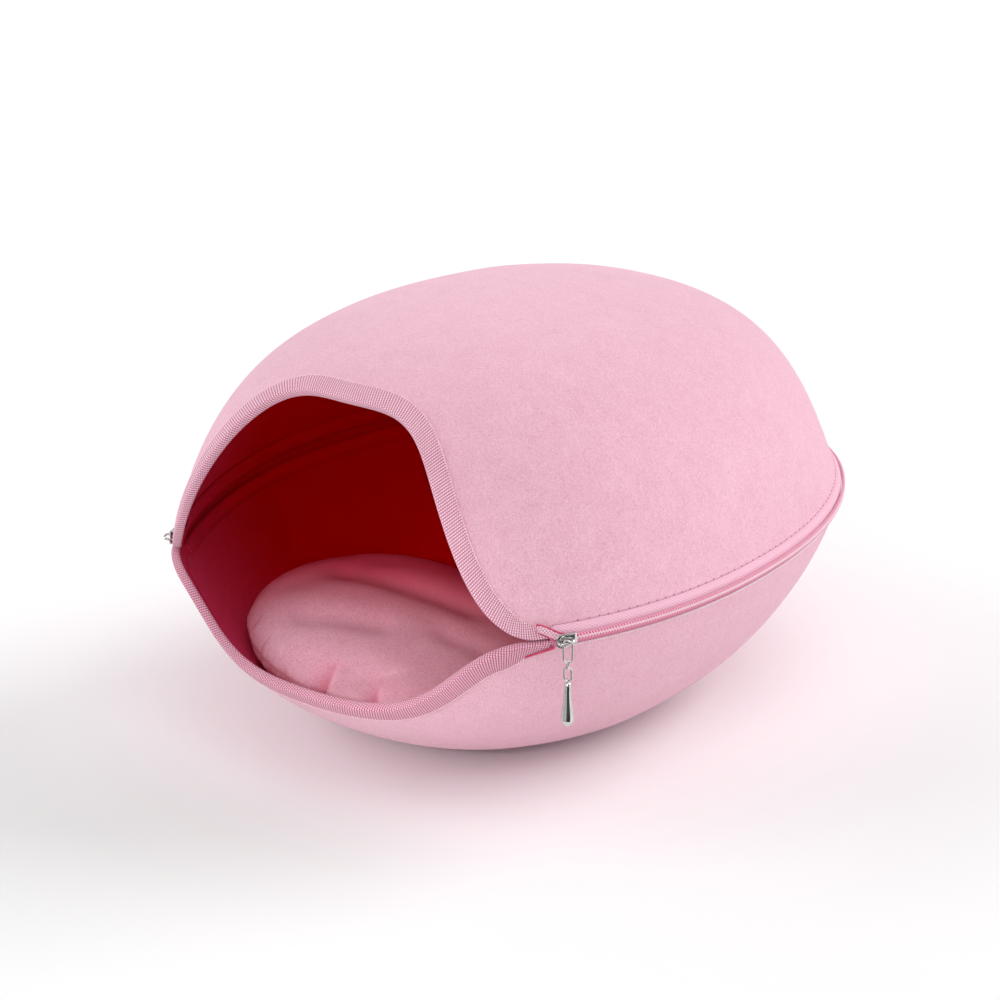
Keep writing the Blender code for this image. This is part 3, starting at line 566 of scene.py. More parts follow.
class Paint:
    """A material whose nodes are added one call at a time."""

    def __init__(self, name, roughness, metallic=0.0):
        """Starts with a plain surface of that roughness; place is the object's own coordinates."""
        self.material = bpy.data.materials.new(name)
        self.material.use_nodes = True
        self.tree = self.material.node_tree
        self.shader = self.tree.nodes["Principled BSDF"]
        self.set("Roughness", roughness)
        self.set("Metallic", metallic)
        self.place = self.add("ShaderNodeTexCoord").outputs["Object"]

    def add(self, kind, inputs=(), **settings):
        """A node of that kind; inputs maps a socket's name or number to a value or a socket."""
        node = self.tree.nodes.new(kind)
        for key, value in settings.items():
            setattr(node, key, value)
        for key, value in dict(inputs).items():
            if isinstance(value, bpy.types.NodeSocket):
                self.tree.links.new(value, node.inputs[key])
            else:
                node.inputs[key].default_value = value
        return node

    def set(self, socket, value):
        """Gives a socket of the surface a value, or links another socket to it."""
        if isinstance(value, bpy.types.NodeSocket):
            self.tree.links.new(value, self.shader.inputs[socket])
        else:
            self.shader.inputs[socket].default_value = value

    def math(self, operation, first, second=0.0, third=0.0):
        """One step of reckoning on values or sockets."""
        inputs = {0: first, 1: second, 2: third}
        return self.add("ShaderNodeMath", inputs, operation=operation).outputs[0]

    def noise(self, scale, detail=2.0, roughness=0.5, distortion=0.0, stretch=None):
        """Noise over the piece, in cells per metre."""
        place = self.place
        if stretch is not None:
            place = self.add("ShaderNodeMapping", {"Vector": place, "Scale": stretch}).outputs[0]
        inputs = {"Vector": place, "Scale": scale, "Detail": detail, "Roughness": roughness}
        inputs["Distortion"] = distortion
        return self.add("ShaderNodeTexNoise", inputs).outputs["Fac"]

    def ramp(self, value, stops):
        """Colours along a value; stops are (position, (red, green, blue))."""
        node = self.add("ShaderNodeValToRGB", {"Fac": value})
        marks = node.color_ramp.elements
        while len(marks) < len(stops):
            marks.new(0.5)
        for mark, (position, colour) in zip(marks, stops):
            mark.position = position
            mark.color = (*colour, 1.0)
        return node.outputs["Color"]

    def mix(self, share, first, second):
        """A share of the second colour over the first."""
        node = self.add("ShaderNodeMix", data_type="RGBA", blend_type="MIX")
        for socket, value in ((0, share), (6, first), (7, second)):
            if isinstance(value, bpy.types.NodeSocket):
                self.tree.links.new(value, node.inputs[socket])
            else:
                node.inputs[socket].default_value = value if socket == 0 else (*value, 1.0)
        return node.outputs[2]

    def bump(self, height, depth, strength=1.0):
        """Shades the surface as if it rose by a height from 0 to 1, of that depth in metres."""
        inputs = {"Height": height, "Distance": depth, "Strength": strength}
        self.set("Normal", self.add("ShaderNodeBump", inputs).outputs["Normal"])

    def sheen(self, weight, roughness, tint):
        """The pale haze of short pile, strongest where the surface turns away."""
        self.set("Sheen Weight", weight)
        self.set("Sheen Roughness", roughness)
        self.set("Sheen Tint", (*tint, 1.0))


def felt_paint(name, dark, light, depth, specks=False, deep_shade=None, folded=None):
    """Needled felt: fine crossed fibres over a slow mottling, with the odd darker fibre end.

    Its shade is a sum of four noises, mostly of the two finest, which make its relief too.
    The darker colour further in is painted shade; that argument gives it, with the direction and
    distances over which it comes.
    folded is a richer colour of painted shade in the hollows of folds, which the attribute of that
    name gives.
    """
    paint = Paint(name, 0.95)
    fibres = paint.noise(FIBRES, 3, 0.65, 1.2)
    strands = paint.noise(STRANDS, 3, 0.6, 2.5, (1.0, 1.0, 0.45))
    mottle = paint.noise(MOTTLE, 3, 0.6)
    cloud = paint.noise(CLOUD, 2, 0.5)
    value = paint.math("MULTIPLY_ADD", fibres, 0.48, paint.math("MULTIPLY", strands, 0.40))
    value = paint.math("MULTIPLY_ADD", mottle, 0.08, value)
    value = paint.math("MULTIPLY_ADD", cloud, 0.04, value)
    colour = paint.ramp(value, [(0.40, dark), (0.58, light)])
    # Painted shade: the colour turns a darker red further in.
    if deep_shade is not None:
        deep_shade_colour, toward, near, far = deep_shade
        inputs = {0: paint.place, 1: toward}
        onward = paint.add("ShaderNodeVectorMath", inputs, operation="DOT_PRODUCT").outputs["Value"]
        inputs = {0: onward, 1: near, 2: far}
        share = paint.add("ShaderNodeMapRange", inputs, interpolation_type="SMOOTHSTEP").outputs[0]
        colour = paint.mix(share, colour, deep_shade_colour)
        paint.set("Specular IOR Level", 0.0)
    else:
        paint.sheen(0.35, 0.45, (1.0, 0.86, 0.92))
    # Painted shade in the hollows of folds.
    if folded is not None:
        fold_shade_share = paint.add("ShaderNodeAttribute", attribute_name="folded").outputs["Fac"]
        colour = paint.mix(fold_shade_share, colour, folded)
    if specks:
        cells = paint.add("ShaderNodeTexVoronoi", {"Vector": paint.place, "Scale": SPECKS})
        near = paint.math("LESS_THAN", cells.outputs["Distance"], SPECK_SIZE)
        rare = paint.add("ShaderNodeSeparateColor", {0: cells.outputs["Color"]}).outputs[0]
        near = paint.math("MULTIPLY", near, paint.math("GREATER_THAN", rare, SPECK_RARE))
        colour = paint.mix(near, colour, (0.45, 0.12, 0.22))
    paint.set("Base Color", colour)
    height = paint.math("MULTIPLY_ADD", strands, 1.5, fibres)
    paint.bump(height, depth, 1.0)
    return paint.material


def cloth_place(paint):
    """The cloth's own coordinates: metres along the tape and metres across it."""
    own = paint.add("ShaderNodeUVMap", uv_map="cloth").outputs[0]
    split = paint.add("ShaderNodeSeparateXYZ", {0: own})
    return split.outputs["X"], split.outputs["Y"]


def thread(paint, value, pitch, power):
    """A row of rounded threads: the size of sin(pi times value over pitch), to a power."""
    wave = paint.math("SINE", paint.math("MULTIPLY", value, math.pi / pitch))
    return paint.math("POWER", paint.math("ABSOLUTE", wave), power)


def weave_paint(name, gap, body, crest, along_pitch, across_pitch):
    """Tape of ribs across it: each rib is a row of raised floats, half a step off its neighbours'."""
    paint = Paint(name, 0.82)
    along, across = cloth_place(paint)
    slanted = paint.math("MULTIPLY_ADD", across, RIB_SLANT, along)
    rib = paint.math("FLOOR", paint.math("DIVIDE", slanted, along_pitch))
    odd = paint.math("PINGPONG", rib, 1.0)
    shifted = paint.math("MULTIPLY_ADD", odd, across_pitch / 2, across)
    wide = thread(paint, slanted, along_pitch, 1.0)
    tall = thread(paint, shifted, across_pitch, 1.0)
    height = paint.math("MULTIPLY", wide, paint.math("MULTIPLY_ADD", tall, 0.75, 0.25))
    fuzz = paint.noise(1500, 2, 0.6)
    shade = paint.math("MULTIPLY_ADD", fuzz, 0.20, paint.math("MULTIPLY", height, 0.9))
    wear = paint.noise(45, 2, 0.5)
    shade = paint.math("MULTIPLY_ADD", wear, 0.10, shade)
    paint.set("Base Color", paint.ramp(shade, [(0.20, gap), (0.52, body), (0.88, crest)]))
    paint.bump(height, 0.0005, 1.0)
    paint.sheen(0.2, 0.4, (1.0, 0.9, 0.94))
    return paint.material


def twill_paint(name, gap, crest, pitch):
    """Zip tape: slanted rows of short bright floats on a fine plain ground."""
    paint = Paint(name, 0.85)
    along, across = cloth_place(paint)
    slanted = paint.math("MULTIPLY_ADD", across, TWILL_SLANT, along)
    rib = thread(paint, slanted, pitch, 1.6)
    fine = thread(paint, paint.math("MULTIPLY_ADD", along, -0.3, across), pitch / 2, 0.6)
    height = paint.math("MULTIPLY", rib, fine)
    fuzz = paint.noise(1500, 2, 0.6)
    shade = paint.math("MULTIPLY_ADD", fuzz, 0.35, paint.math("MULTIPLY", height, 0.75))
    paint.set("Base Color", paint.ramp(shade, [(0.12, gap), (0.80, crest)]))
    paint.bump(height, 0.0003, 0.8)
    paint.sheen(0.2, 0.4, (1.0, 0.9, 0.94))
    return paint.material


def thread_paint(name, dark, light, roughness=0.6):
    """Sewing thread or nylon: a plain colour with a little unevenness along it."""
    paint = Paint(name, roughness)
    paint.set("Base Color", paint.ramp(paint.noise(600, 2, 0.5), [(0.35, dark), (0.65, light)]))
    paint.bump(paint.noise(2500, 1, 0.5), 0.00005, 0.4)
    return paint.material


def nylon_paint(name, head, middle, back):
    """A zip's shiny nylon, whose colour goes by the distance from the seam: a painted highlight at the
    heads, and on the lower half painted shade towards the back.
    """
    paint = Paint(name, 0.3)
    inputs = {0: cloth_place(paint)[1], 1: -COIL_MESH, 2: 2 * COIL_HEIGHT}
    share = paint.add("ShaderNodeMapRange", inputs).outputs[0]
    # Painted highlight at the heads; the lower half's darker back is painted shade.
    paint.set("Base Color", paint.ramp(share, [(0.12, head), (0.50, middle), (0.92, back)]))
    return paint.material


def metal_paint(name):
    """Polished plating, with slight smears and fine scratches in its shine."""
    paint = Paint(name, 0.1, 1.0)
    greys = [(0.3, (0.60, 0.60, 0.58)), (0.7, (0.72, 0.72, 0.70))]
    paint.set("Base Color", paint.ramp(paint.noise(300, 2, 0.5), greys))
    smear = paint.noise(250, 3, 0.6, 0.0, (1.0, 1.0, 0.3))
    smeared = paint.add("ShaderNodeMapRange", {0: smear, 3: 0.05, 4: 0.16})
    paint.set("Roughness", smeared.outputs[0])
    paint.bump(paint.noise(3000, 2, 0.6, 0.0, (1.0, 1.0, 0.1)), 0.00001, 0.2)
    return paint.material


# ---------------------------------------------------------------- felt shells


def ripple(angle, v):
    """Slow unevenness of the moulded felt: three crossed waves, none near the edges."""
    waves = np.sin(5 * angle + 9 * v) + np.sin(9 * angle - 7 * v + 1.3) + np.sin(14 * v + 3 * angle)
    fade = np.clip(v / 0.35, 0, 1) * np.clip((1 - v) / 0.25, 0, 1)
    return RIPPLE * fade * waves / 3


def felt_shell(name, shell, mouth, paints):
    """Outer face from the pole to the rim, the rim rounded as a half superellipse, inner face back.

    Each meridian starts at the mouth's cut edge, or at the rim behind the mouth's corners.
    """
    front, back = mouth_columns(FELT_COLUMNS[0]), back_columns(FELT_COLUMNS[1])
    step = MOUTH_CORNER + CORNER_STEP
    angles = np.concatenate([front, [step], back, [2 * math.pi - step]])
    bottom = np.concatenate([cut_edge(shell, mouth, front), np.zeros(len(back) + 2)])
    bottom = bottom + EDGE_ROUND / np.linalg.norm(slopes(shell, angles, bottom)[1], axis=-1)
    share = np.linspace(0, 1, FELT_ROWS)[:, None] ** ROW_CROWDING
    last = LAST_ROW if shell.flat == 0 else 1.0
    v = bottom + (last - bottom) * share
    angle = np.broadcast_to(angles, v.shape)
    _, onward, normal = slopes(shell, angle, v)
    outer = surface(shell, angle, v) + normal * ripple(angle, v)[..., None]
    inner = outer - normal * FELT
    over = np.linspace(0, math.pi, 6)[1:-1]
    flat = signed_power(np.cos(over), 0.6)[:, None, None] * normal[0] * FELT / 2
    round_ = np.sin(over)[:, None, None] ** 0.6 * unit(onward[0]) * EDGE_ROUND
    rim = (outer[0] + inner[0]) / 2 + flat - round_
    sheet = np.concatenate([outer[::-1], rim, inner])
    rows, columns = sheet.shape[:2]
    height = SEAM_HEIGHT + shell.rise * shell.reach
    poles = np.array([[0, -shell.tip, height], [0, -shell.tip, height - shell.rise * FELT]])
    turned = shell.rise > 0
    faces = grid_faces(rows, columns, True, turned).tolist()
    first_row = np.arange(columns)
    last_row = first_row + (rows - 1) * columns
    fans = [fan(first_row, rows * columns), fan(last_row, rows * columns + 1, True)]
    fans = np.concatenate(fans)
    faces += (fans[:, ::-1] if turned else fans).tolist()
    which = np.zeros(len(faces), int)
    which[(len(outer) + len(rim)) * columns : (rows - 1) * columns] = 1
    which[-columns:] = 1
    points = np.concatenate([sheet.reshape(-1, 3), poles])
    return piece(name, points, faces, paints, which)


# ---------------------------------------------------------------- mouth tape


def step_along(around, onward, wanted):
    """How far to go in angle and in v for one metre along a direction that lies in the surface."""
    aa = (around * around).sum(-1)
    ab = (around * onward).sum(-1)
    bb = (onward * onward).sum(-1)
    wa = (wanted * around).sum(-1)
    wb = (wanted * onward).sum(-1)
    scale = aa * bb - ab * ab
    return (wa * bb - wb * ab) / scale, (wb * aa - wa * ab) / scale


def mouth_frame(shell, mouth, angle):
    """The cut edge's v, the felt's normal there, the way in from the edge, and a function for
    points on the felt beside it."""
    v = cut_edge(shell, mouth, angle)
    around, onward, normal = slopes(shell, angle, v)
    ahead = np.minimum(angle + SLOPE_STEP, MOUTH_CORNER)
    behind = np.maximum(angle - SLOPE_STEP, -MOUTH_CORNER)
    run = surface(shell, ahead, cut_edge(shell, mouth, ahead))
    run = unit(run - surface(shell, behind, cut_edge(shell, mouth, behind)))
    inward = unit(np.cross(normal, run)) * shell.rise
    turn, climb = step_along(around, onward, inward)

    def on_felt(distance, height):
        """Points that far in from the cut edge, raised along the felt's normal."""
        there = angle + turn * distance, v + climb * distance
        return surface(shell, *there) + slopes(shell, *there)[2] * np.reshape(height, (-1, 1))

    return v, normal, inward, on_felt


def leg_length(mouth, angle):
    """How far the tape laps onto the felt outside, and its share of full width near the corner."""
    taper = np.clip((MOUTH_CORNER - np.abs(angle)) / LEG_TAPER, 0, 1)
    taper = taper * taper * (3 - 2 * taper)
    leg = mouth.leg_side + (mouth.leg - mouth.leg_side) * np.cos(angle * math.pi / 2 / MOUTH_CORNER)
    return LEG_END + (leg - LEG_END) * taper, taper


def mouth_tape(name, shell, mouth, paints):
    """Tape folded over the cut edge: a leg that swells between its stitching and the fold, a half
    superellipse round the edge, and a leg inside."""
    angle = mouth_columns(TAPE_COLUMNS)
    v, normal, inward, on_felt = mouth_frame(shell, mouth, angle)
    leg, taper = leg_length(mouth, angle)
    outside = BINDING_GAP + BINDING / 2
    inside = -FELT - BINDING_INNER_GAP - BINDING / 2
    layers = []
    for share in np.linspace(1, 0, 9):
        swell = LEG_SWELL * math.sin(math.pi * min(1.0, (1 - share) * 1.15)) * taper
        layers.append(on_felt(leg * share, outside + swell))
    core = surface(shell, angle, v) + normal * (outside + inside) / 2
    for turned in np.linspace(0, math.pi, 10)[1:-1]:
        start = core + normal * signed_power(math.cos(turned), 0.6) * (outside - inside) / 2
        level = shell.rise * (start[:, 2] - ridge(angle)[0][:, 2]) - FOLD_CLEAR
        pressed = np.minimum(level / (shell.rise * inward[:, 2]), 2 * FOLD_DEPTH)
        pressed = pressed * math.sin(turned) ** 0.35
        drop = pressed + (math.sin(turned) ** 0.6 * FOLD_DEPTH - pressed) * taper
        layers.append(start - inward * drop[:, None])
    lapped = len(layers) - 1
    for share in np.linspace(0, 1, 5):
        layers.append(on_felt(0 * leg + BINDING_INNER_LEG * share, inside + 0 * leg))
    sheet = np.stack(layers)
    return walled(cloth_strip(name, sheet, paints, lapped, shell.rise > 0), BINDING)


def cloth_strip(name, sheet, paints, lapped, turned):
    """An open strip, across by along, whose own coordinates are metres along and across it.

    The second paint is for its back and for the rows from lapped on, which lie inside the cave.
    """
    along = lengths(sheet[len(sheet) // 2])
    across = np.linalg.norm(np.diff(sheet, axis=0), axis=-1)
    across = np.concatenate([0 * across[:1], across.cumsum(0)])
    uv = np.stack([np.broadcast_to(along, across.shape), across], -1)
    faces = grid_faces(*sheet.shape[:2], False, turned).tolist()
    which = np.repeat(np.arange(len(sheet) - 1) >= lapped, sheet.shape[1] - 1).astype(int)
    return piece(name, sheet, faces, paints, which, uv)


def stitch_row(name, line, normal, stitch, paint):
    """Short threads along a line, almost evenly spaced, whose ends dip into the cloth."""
    travelled = lengths(line)
    count = int(travelled[-1] / stitch.pitch)
    wobble = np.random.default_rng(7).uniform(-stitch.jitter, stitch.jitter, count) * stitch.pitch
    middle = (np.arange(count) + 0.5) * stitch.pitch + wobble
    along = np.array([-0.5, -0.38, 0.0, 0.38, 0.5])
    at = middle[:, None] + along * stitch.length
    place = at_lengths(at, travelled, line)
    up = unit(at_lengths(at, travelled, normal))
    sunk = STITCH_SUNK
    dip = np.array([-sunk - 0.5, -sunk, 0.15, -sunk, -sunk - 0.5]) * stitch.radius
    thick = np.array([0.45, 1.0, 1.1, 1.0, 0.45]) * stitch.radius
    points, faces = bars(place + up * dip[:, None], up, thick, 6)
    return piece(name, points, faces, [paint])


def mouth_stitching(name, shell, mouth, paint):
    """A row of small raised stitches along the tape's outer edge."""
    angle = mouth_columns(TAPE_COLUMNS)
    on_felt = mouth_frame(shell, mouth, angle)[-1]
    leg = leg_length(mouth, angle)[0]
    keep = slice(STITCHLESS, -STITCHLESS)
    line = on_felt(leg - STITCH_IN, BINDING_GAP + BINDING + STITCH_PROUD + 0 * leg)
    normal = unit(line - on_felt(leg - STITCH_IN, 0 * leg))
    return stitch_row(name, line[keep], normal[keep], MOUTH_STITCH, paint)


# ---------------------------------------------------------------- zip


def zip_tape(name, shell, paints):
    """From behind the coil, out under the felt's edge and up inside the felt, with eased corners.

    Each row lies on the straight line between the corner before it and the next. The upper tape
    bulges between the coil and the felt, by half a sine wave.
    """
    start = MOUTH_CORNER + ZIP_START
    angle = np.linspace(start, 2 * math.pi - start, ZIP_COLUMNS)
    middle, _, out = ridge(angle)
    lift = np.array([0, 0, shell.rise])
    _, onward, normal = slopes(shell, angle, 0 * angle)
    rim = surface(shell, angle, 0 * angle)
    below = -unit(onward) * TAPE / 2
    behind = FELT + GAP + TAPE / 2
    lap = angle * 0 + TAPE_LAP
    top = surface(shell, angle, lap) - slopes(shell, angle, lap)[2] * behind
    coil_side = middle - out * (COIL_RADIUS + GAP + TAPE / 2)
    corners = np.stack([
        coil_side + lift * TAPE_MEET,
        coil_side + lift * 2 * COIL_HEIGHT - out * GAP,
        rim + below - normal * TAPE / 2,
        rim + below - normal * behind,
        top,
    ])
    row = np.array([*SHOWN_ROWS, *LAPPED_ROWS])
    low = np.minimum(row.astype(int), len(corners) - 2)
    rest = (row - low)[:, None, None]
    sheet = corners[low] * (1 - rest) + corners[low + 1] * rest
    if shell.rise > 0:
        bulge = TAPE_ROLL * np.sin(math.pi * np.clip(row - 1, 0, 1))
        ahead = unit(np.gradient(middle, axis=0))
        sheet = sheet + bulge[:, None, None] * unit(np.cross(ahead, corners[2] - corners[1]))
    strip = cloth_strip(name, sheet, paints, len(SHOWN_ROWS), shell.rise < 0)
    return walled(strip, TAPE)


def corner_strip(name, line, out, width, paints):
    """A short strip of cloth along a line that faces out, a little crowned across its width."""
    across = unit(np.cross(out, unit(np.gradient(line, axis=0))))
    share = np.linspace(-0.5, 0.5, 9)[:, None, None]
    sheet = line + across * share * np.reshape(width, (-1, 1))
    sheet = sheet + out * STRIP_CROWN * np.cos(math.pi * share)
    return walled(cloth_strip(name, sheet, paints, len(share), False), STRIP)


def zip_end(name, width, sunk, paints):
    """The zip tape's cut end, folded down across the corner from the felt's rim to the slider: its
    height and distance ease from one end's values to the other's."""
    share = np.linspace(0, 1, 25)
    middle, _, out = ridge(END_FROM + (END_TO - END_FROM) * share)
    eased = share * share * (3 - 2 * share)
    height = END_HIGH + (END_LOW - END_HIGH) * eased
    reach = END_IN + (END_OUT - END_IN) * eased - sunk
    line = middle + out * reach[:, None] + np.array([0, 0, 1.0]) * height[:, None]
    return corner_strip(name, line, out, width + 0 * share, paints)


def lip_crease(name, paints):
    """A red strip of painted shadow where the lip's tape ends, from the tape's middle to under the
    slider.
    """
    share = np.linspace(0, 1, 21)
    angle = CREASE_FROM + (CREASE_TO - CREASE_FROM) * share
    v = CREASE_UNDER + (CREASE_OVER - CREASE_UNDER) * share
    out = slopes(BOWL, angle, v)[2]
    line = surface(BOWL, angle, v) + out * CREASE_LIFT
    return corner_strip(name, line, out, np.interp(share, (0, 1), CREASE_WIDTH), paints)


def zip_coil(name, shell, paints):
    """Half of the chain: one thread wound round a cord, each turn a flattened loop whose head
    reaches between the heads of the other half. Its own coordinates are metres along the seam and
    away from it."""
    start = MOUTH_CORNER + COIL_START
    angle = np.linspace(start, 2 * math.pi - start, RIDGE_STEPS)
    middle, _, out = ridge(angle)
    travelled = lengths(middle)
    at = np.linspace(0, travelled[-1], int(travelled[-1] / COIL_PITCH * TURN_STEPS))
    phase = at / COIL_PITCH * 2 * math.pi + (math.pi if shell.rise < 0 else 0.0)
    at = at - COIL_LEAN * COIL_PITCH * np.cos(phase)
    line, outward = at_lengths(at, travelled, middle), at_lengths(at, travelled, out)
    core = COIL_HEIGHT - COIL_MESH / 2
    tall = COIL_HEIGHT + COIL_MESH / 2 - COIL_WIRE
    reach = core + signed_power(np.cos(phase), 0.8) * tall
    swing = signed_power(np.sin(phase), 0.8) * (COIL_RADIUS - COIL_WIRE)
    up = np.array([0, 0, shell.rise])
    path = line + up * reach[:, None] + outward * swing[:, None]
    across = up * np.cos(phase)[:, None] + outward * np.sin(phase)[:, None]
    turn_sides, cord_sides, apart = 6, 8, 2
    turns = bars(path[None], across[None], COIL_WIRE, turn_sides)
    cord = (middle + up * core)[::apart]
    cord = bars(cord[None], up + 0 * cord[None], COIL_CORD, cord_sides, widen=2.2)
    points, faces = join([turns, cord])
    is_cord = np.arange(len(faces)) >= len(turns[1])
    own = np.concatenate([
        np.stack([at, reach], -1).repeat(turn_sides, 0),
        np.stack([travelled, core + 0 * travelled], -1)[::apart].repeat(cord_sides, 0),
    ])
    return piece(name, points, faces, paints, is_cord, own)


def felt_edge_line(shell, drop, out):
    """A line along the felt's rim behind the corners, that far up the felt and that far out of it,
    and the felt's normal along it."""
    angle = back_columns(EDGE_STEPS)[EDGE_SPARED:-EDGE_SPARED]
    _, onward, normal = slopes(shell, angle, 0 * angle)
    rim = surface(shell, angle, 0 * angle)
    return rim + unit(onward) * drop + normal * out, normal


# ---------------------------------------------------------------- metal


def corner_frame(side):
    """A matrix whose columns are outward, along the seam and up, at the slider on that side."""
    length = np.linalg.norm(slopes(DOME, np.array([MOUTH_CORNER]), np.zeros(1))[0])
    angle = side * (MOUTH_CORNER + SLIDER_AHEAD + SLIDER_LENGTH / 2 / length)
    place, along, out = (row[0] for row in ridge(np.array([angle])))
    made = np.eye(4)
    made[:3, :4] = np.stack([out, along, np.cross(out, along), place], -1)
    return made


def put(points, placed):
    """Points of a frame in the world."""
    return points @ placed[:3, :3].T + placed[:3, 3]


def slab(stations, half_height, out, half_thick, centre=0.0):
    """A plate along the slider: each station's section is a superellipse of its half sizes."""
    turn = np.linspace(0, 2 * math.pi, 28, endpoint=False)
    thick = signed_power(np.cos(turn), PLATE_ROUND)
    tall = signed_power(np.sin(turn), PLATE_ROUND)
    stations, half_height, half_thick, centre = np.broadcast_arrays(
        stations, half_height, half_thick, centre
    )
    across = out + half_thick[:, None] * thick
    up = centre[:, None] + half_height[:, None] * tall
    along = np.broadcast_to(stations[:, None], across.shape)
    return loft(np.stack([across, along, up], -1))


def slider_plates():
    """Outer plate, widest behind its rounded nose and narrower at its tail, lips, post and inner
    plate.

    The outer plate's half height is a cosine wave along it, rounded off at the nose by a
    superellipse. The outer and the inner plate thin and narrow towards their ends.
    """
    half = SLIDER_LENGTH / 2
    t = np.linspace(0, 1, 33)
    ends = np.sqrt(np.clip(1 - np.abs(2 * t - 1) ** 7, 0, 1))
    width = SLIDER_HEIGHT / 2 * (0.86 + 0.14 * np.cos(2 * math.pi * np.clip(t - 0.28, -0.28, 0.5)))
    nose = np.clip(t / 0.27, 0, 1)
    width = width * np.clip(0.10 + 0.90 * np.sqrt(1 - (1 - nose) ** 2.2), 0, 1)
    along = (2 * t - 1) * half
    front = PLATE_OUT + SLIDER_PLATE / 2
    thick = SLIDER_PLATE / 2 * (0.3 + 0.7 * ends)
    shapes = [slab(along, width * (0.55 + 0.45 * ends), front, thick)]
    lip_at = np.linspace(-half + SLIDER_NOSE, half - LIP_SHORT, 9)
    lip_half = np.interp(lip_at, along, width) - LIP_WALL / 2
    lip_ends = np.array([0.6, 0.95, 1, 1, 1, 1, 1, 0.95, 0.6])
    depth = (PLATE_OUT + SLIDER_PLATE * 0.6 + LIP_DEPTH) / 2
    for level in (1, -1):
        place = depth - LIP_DEPTH, depth, level * lip_half
        shapes.append(slab(lip_at, LIP_WALL / 2 * lip_ends, *place))
    post_at = np.linspace(-half + SLIDER_POST[0], -half + SLIDER_POST[1], 5)
    shapes.append(slab(post_at, POST_HALF, POST_MIDDLE, POST_DEEP))
    inner_at = np.linspace(-half + INNER_START, half - INNER_SHORT, 13)
    inner_ends = np.sqrt(np.clip(1 - np.abs(np.linspace(-1, 1, 13)) ** 6, 0.05, 1))
    thick = INNER_PLATE / 2
    shapes.append(slab(inner_at, INNER_HALF * inner_ends, -PLATE_IN - thick, thick * inner_ends))
    return shapes


def zip_slider(name, side, droop, paint):
    """The plates and an arched crown, whose bar is thicker at its feet. The left one is the right
    one mirrored."""
    turn = np.linspace(0, math.pi, 25)
    arch = np.stack([
        PLATE_OUT + SLIDER_PLATE - CROWN_SUNK + (CROWN_REACH + CROWN_SUNK) * np.sin(turn) ** 0.6,
        -CROWN_AHEAD - CROWN_SPAN / 2 * signed_power(np.cos(turn), 0.7),
        0 * turn,
    ], -1)
    thick = CROWN_BAR * (1 + 0.35 * np.abs(np.cos(turn)) ** 2)
    crown = bars(arch[None], np.array([0.0, 0, 1]), thick, 12)
    points, faces = join([*slider_plates(), crown])
    points = points * np.array([1, side, 1])
    if side < 0:
        faces = [face[::-1] for face in faces]
    tip = np.array(Matrix.Rotation(droop, 4, "X"))
    return piece(name, put(points, corner_frame(side) @ tip), faces, [paint])


def pull_frame():
    """The right slider's place turned plumb, and the first bar's distance out."""
    placed = corner_frame(1)
    out = placed[:3, 0]
    placed[:3, 1] = np.cross([0, 0, 1], out)
    placed[:3, 2] = (0, 0, 1)
    return placed, PLATE_OUT + SLIDER_PLATE + CROWN_REACH


def oval_ring(ring, top, paint):
    """A wire ring with straight sides and round ends, upright in the plane of its heading: a
    circle whose upper and lower halves are drawn apart, by a tanh of the sine."""
    placed, bar = pull_frame()
    facing = np.array([math.cos(PULL_YAW), math.sin(PULL_YAW), 0.0])
    heading = facing if ring.faces_out else np.array([-facing[1], facing[0], 0.0])
    turn = np.linspace(0, 2 * math.pi, 56, endpoint=False)
    straight = ring.half_height - ring.half_width
    up = ring.half_width * np.sin(turn) + np.tanh(9 * np.sin(turn)) * straight
    beside = ring.half_width * np.cos(turn)
    path = np.stack([beside * heading[0], beside * heading[1], up], -1)
    path = np.array([bar, -CROWN_AHEAD, top - ring.half_height]) + path
    across = np.cross(heading, [0, 0, 1])
    points, faces = bars(path[None], across, ring.wire, 12, closed=True)
    return piece(ring.name + "_wire", put(points, placed), faces, [paint])


def pull_drop(bottom, paint):
    """A turned drop: its squared radius is a smooth curve of the distance below the eye, fitted to
    the outline. The eye over it is a flattened ring, sunk into the drop's narrow top."""
    placed, bar = pull_frame()
    below, radius = np.array(DROP).T
    smooth = np.polynomial.chebyshev.Chebyshev.fit(below, radius**2, 9)
    rows, sides = 49, 32
    at = below[0] + (below[-1] - below[0]) * (1 - (1 - np.linspace(0, 1, rows)) ** 1.6)
    wide = np.sqrt(np.clip(smooth(at), 4e-8, None))[:, None]
    turn = np.linspace(0, 2 * math.pi, sides, endpoint=False)
    level = np.broadcast_to(-at[:, None], (rows, sides))
    body = loft(np.stack([wide * np.cos(turn), wide * np.sin(turn), level], -1), True)
    round_ = np.linspace(0, 2 * math.pi, 36, endpoint=False)
    path = (DROP_EYE + EYE_WIRE) * np.stack([0 * round_, np.cos(round_), np.sin(round_)], -1)
    eye = bars(path[None], np.array([1.0, 0, 0]), EYE_WIRE, 12, closed=True, widen=1.6)
    points, faces = join([body, eye])
    spin = np.array(Matrix.Rotation(PULL_YAW, 4, "Z"))
    points = put(points, spin) + np.array([bar, -CROWN_AHEAD, bottom])
    return piece("pull_drop_turned", put(points, placed), faces, [paint])


# ---------------------------------------------------------------- cushion


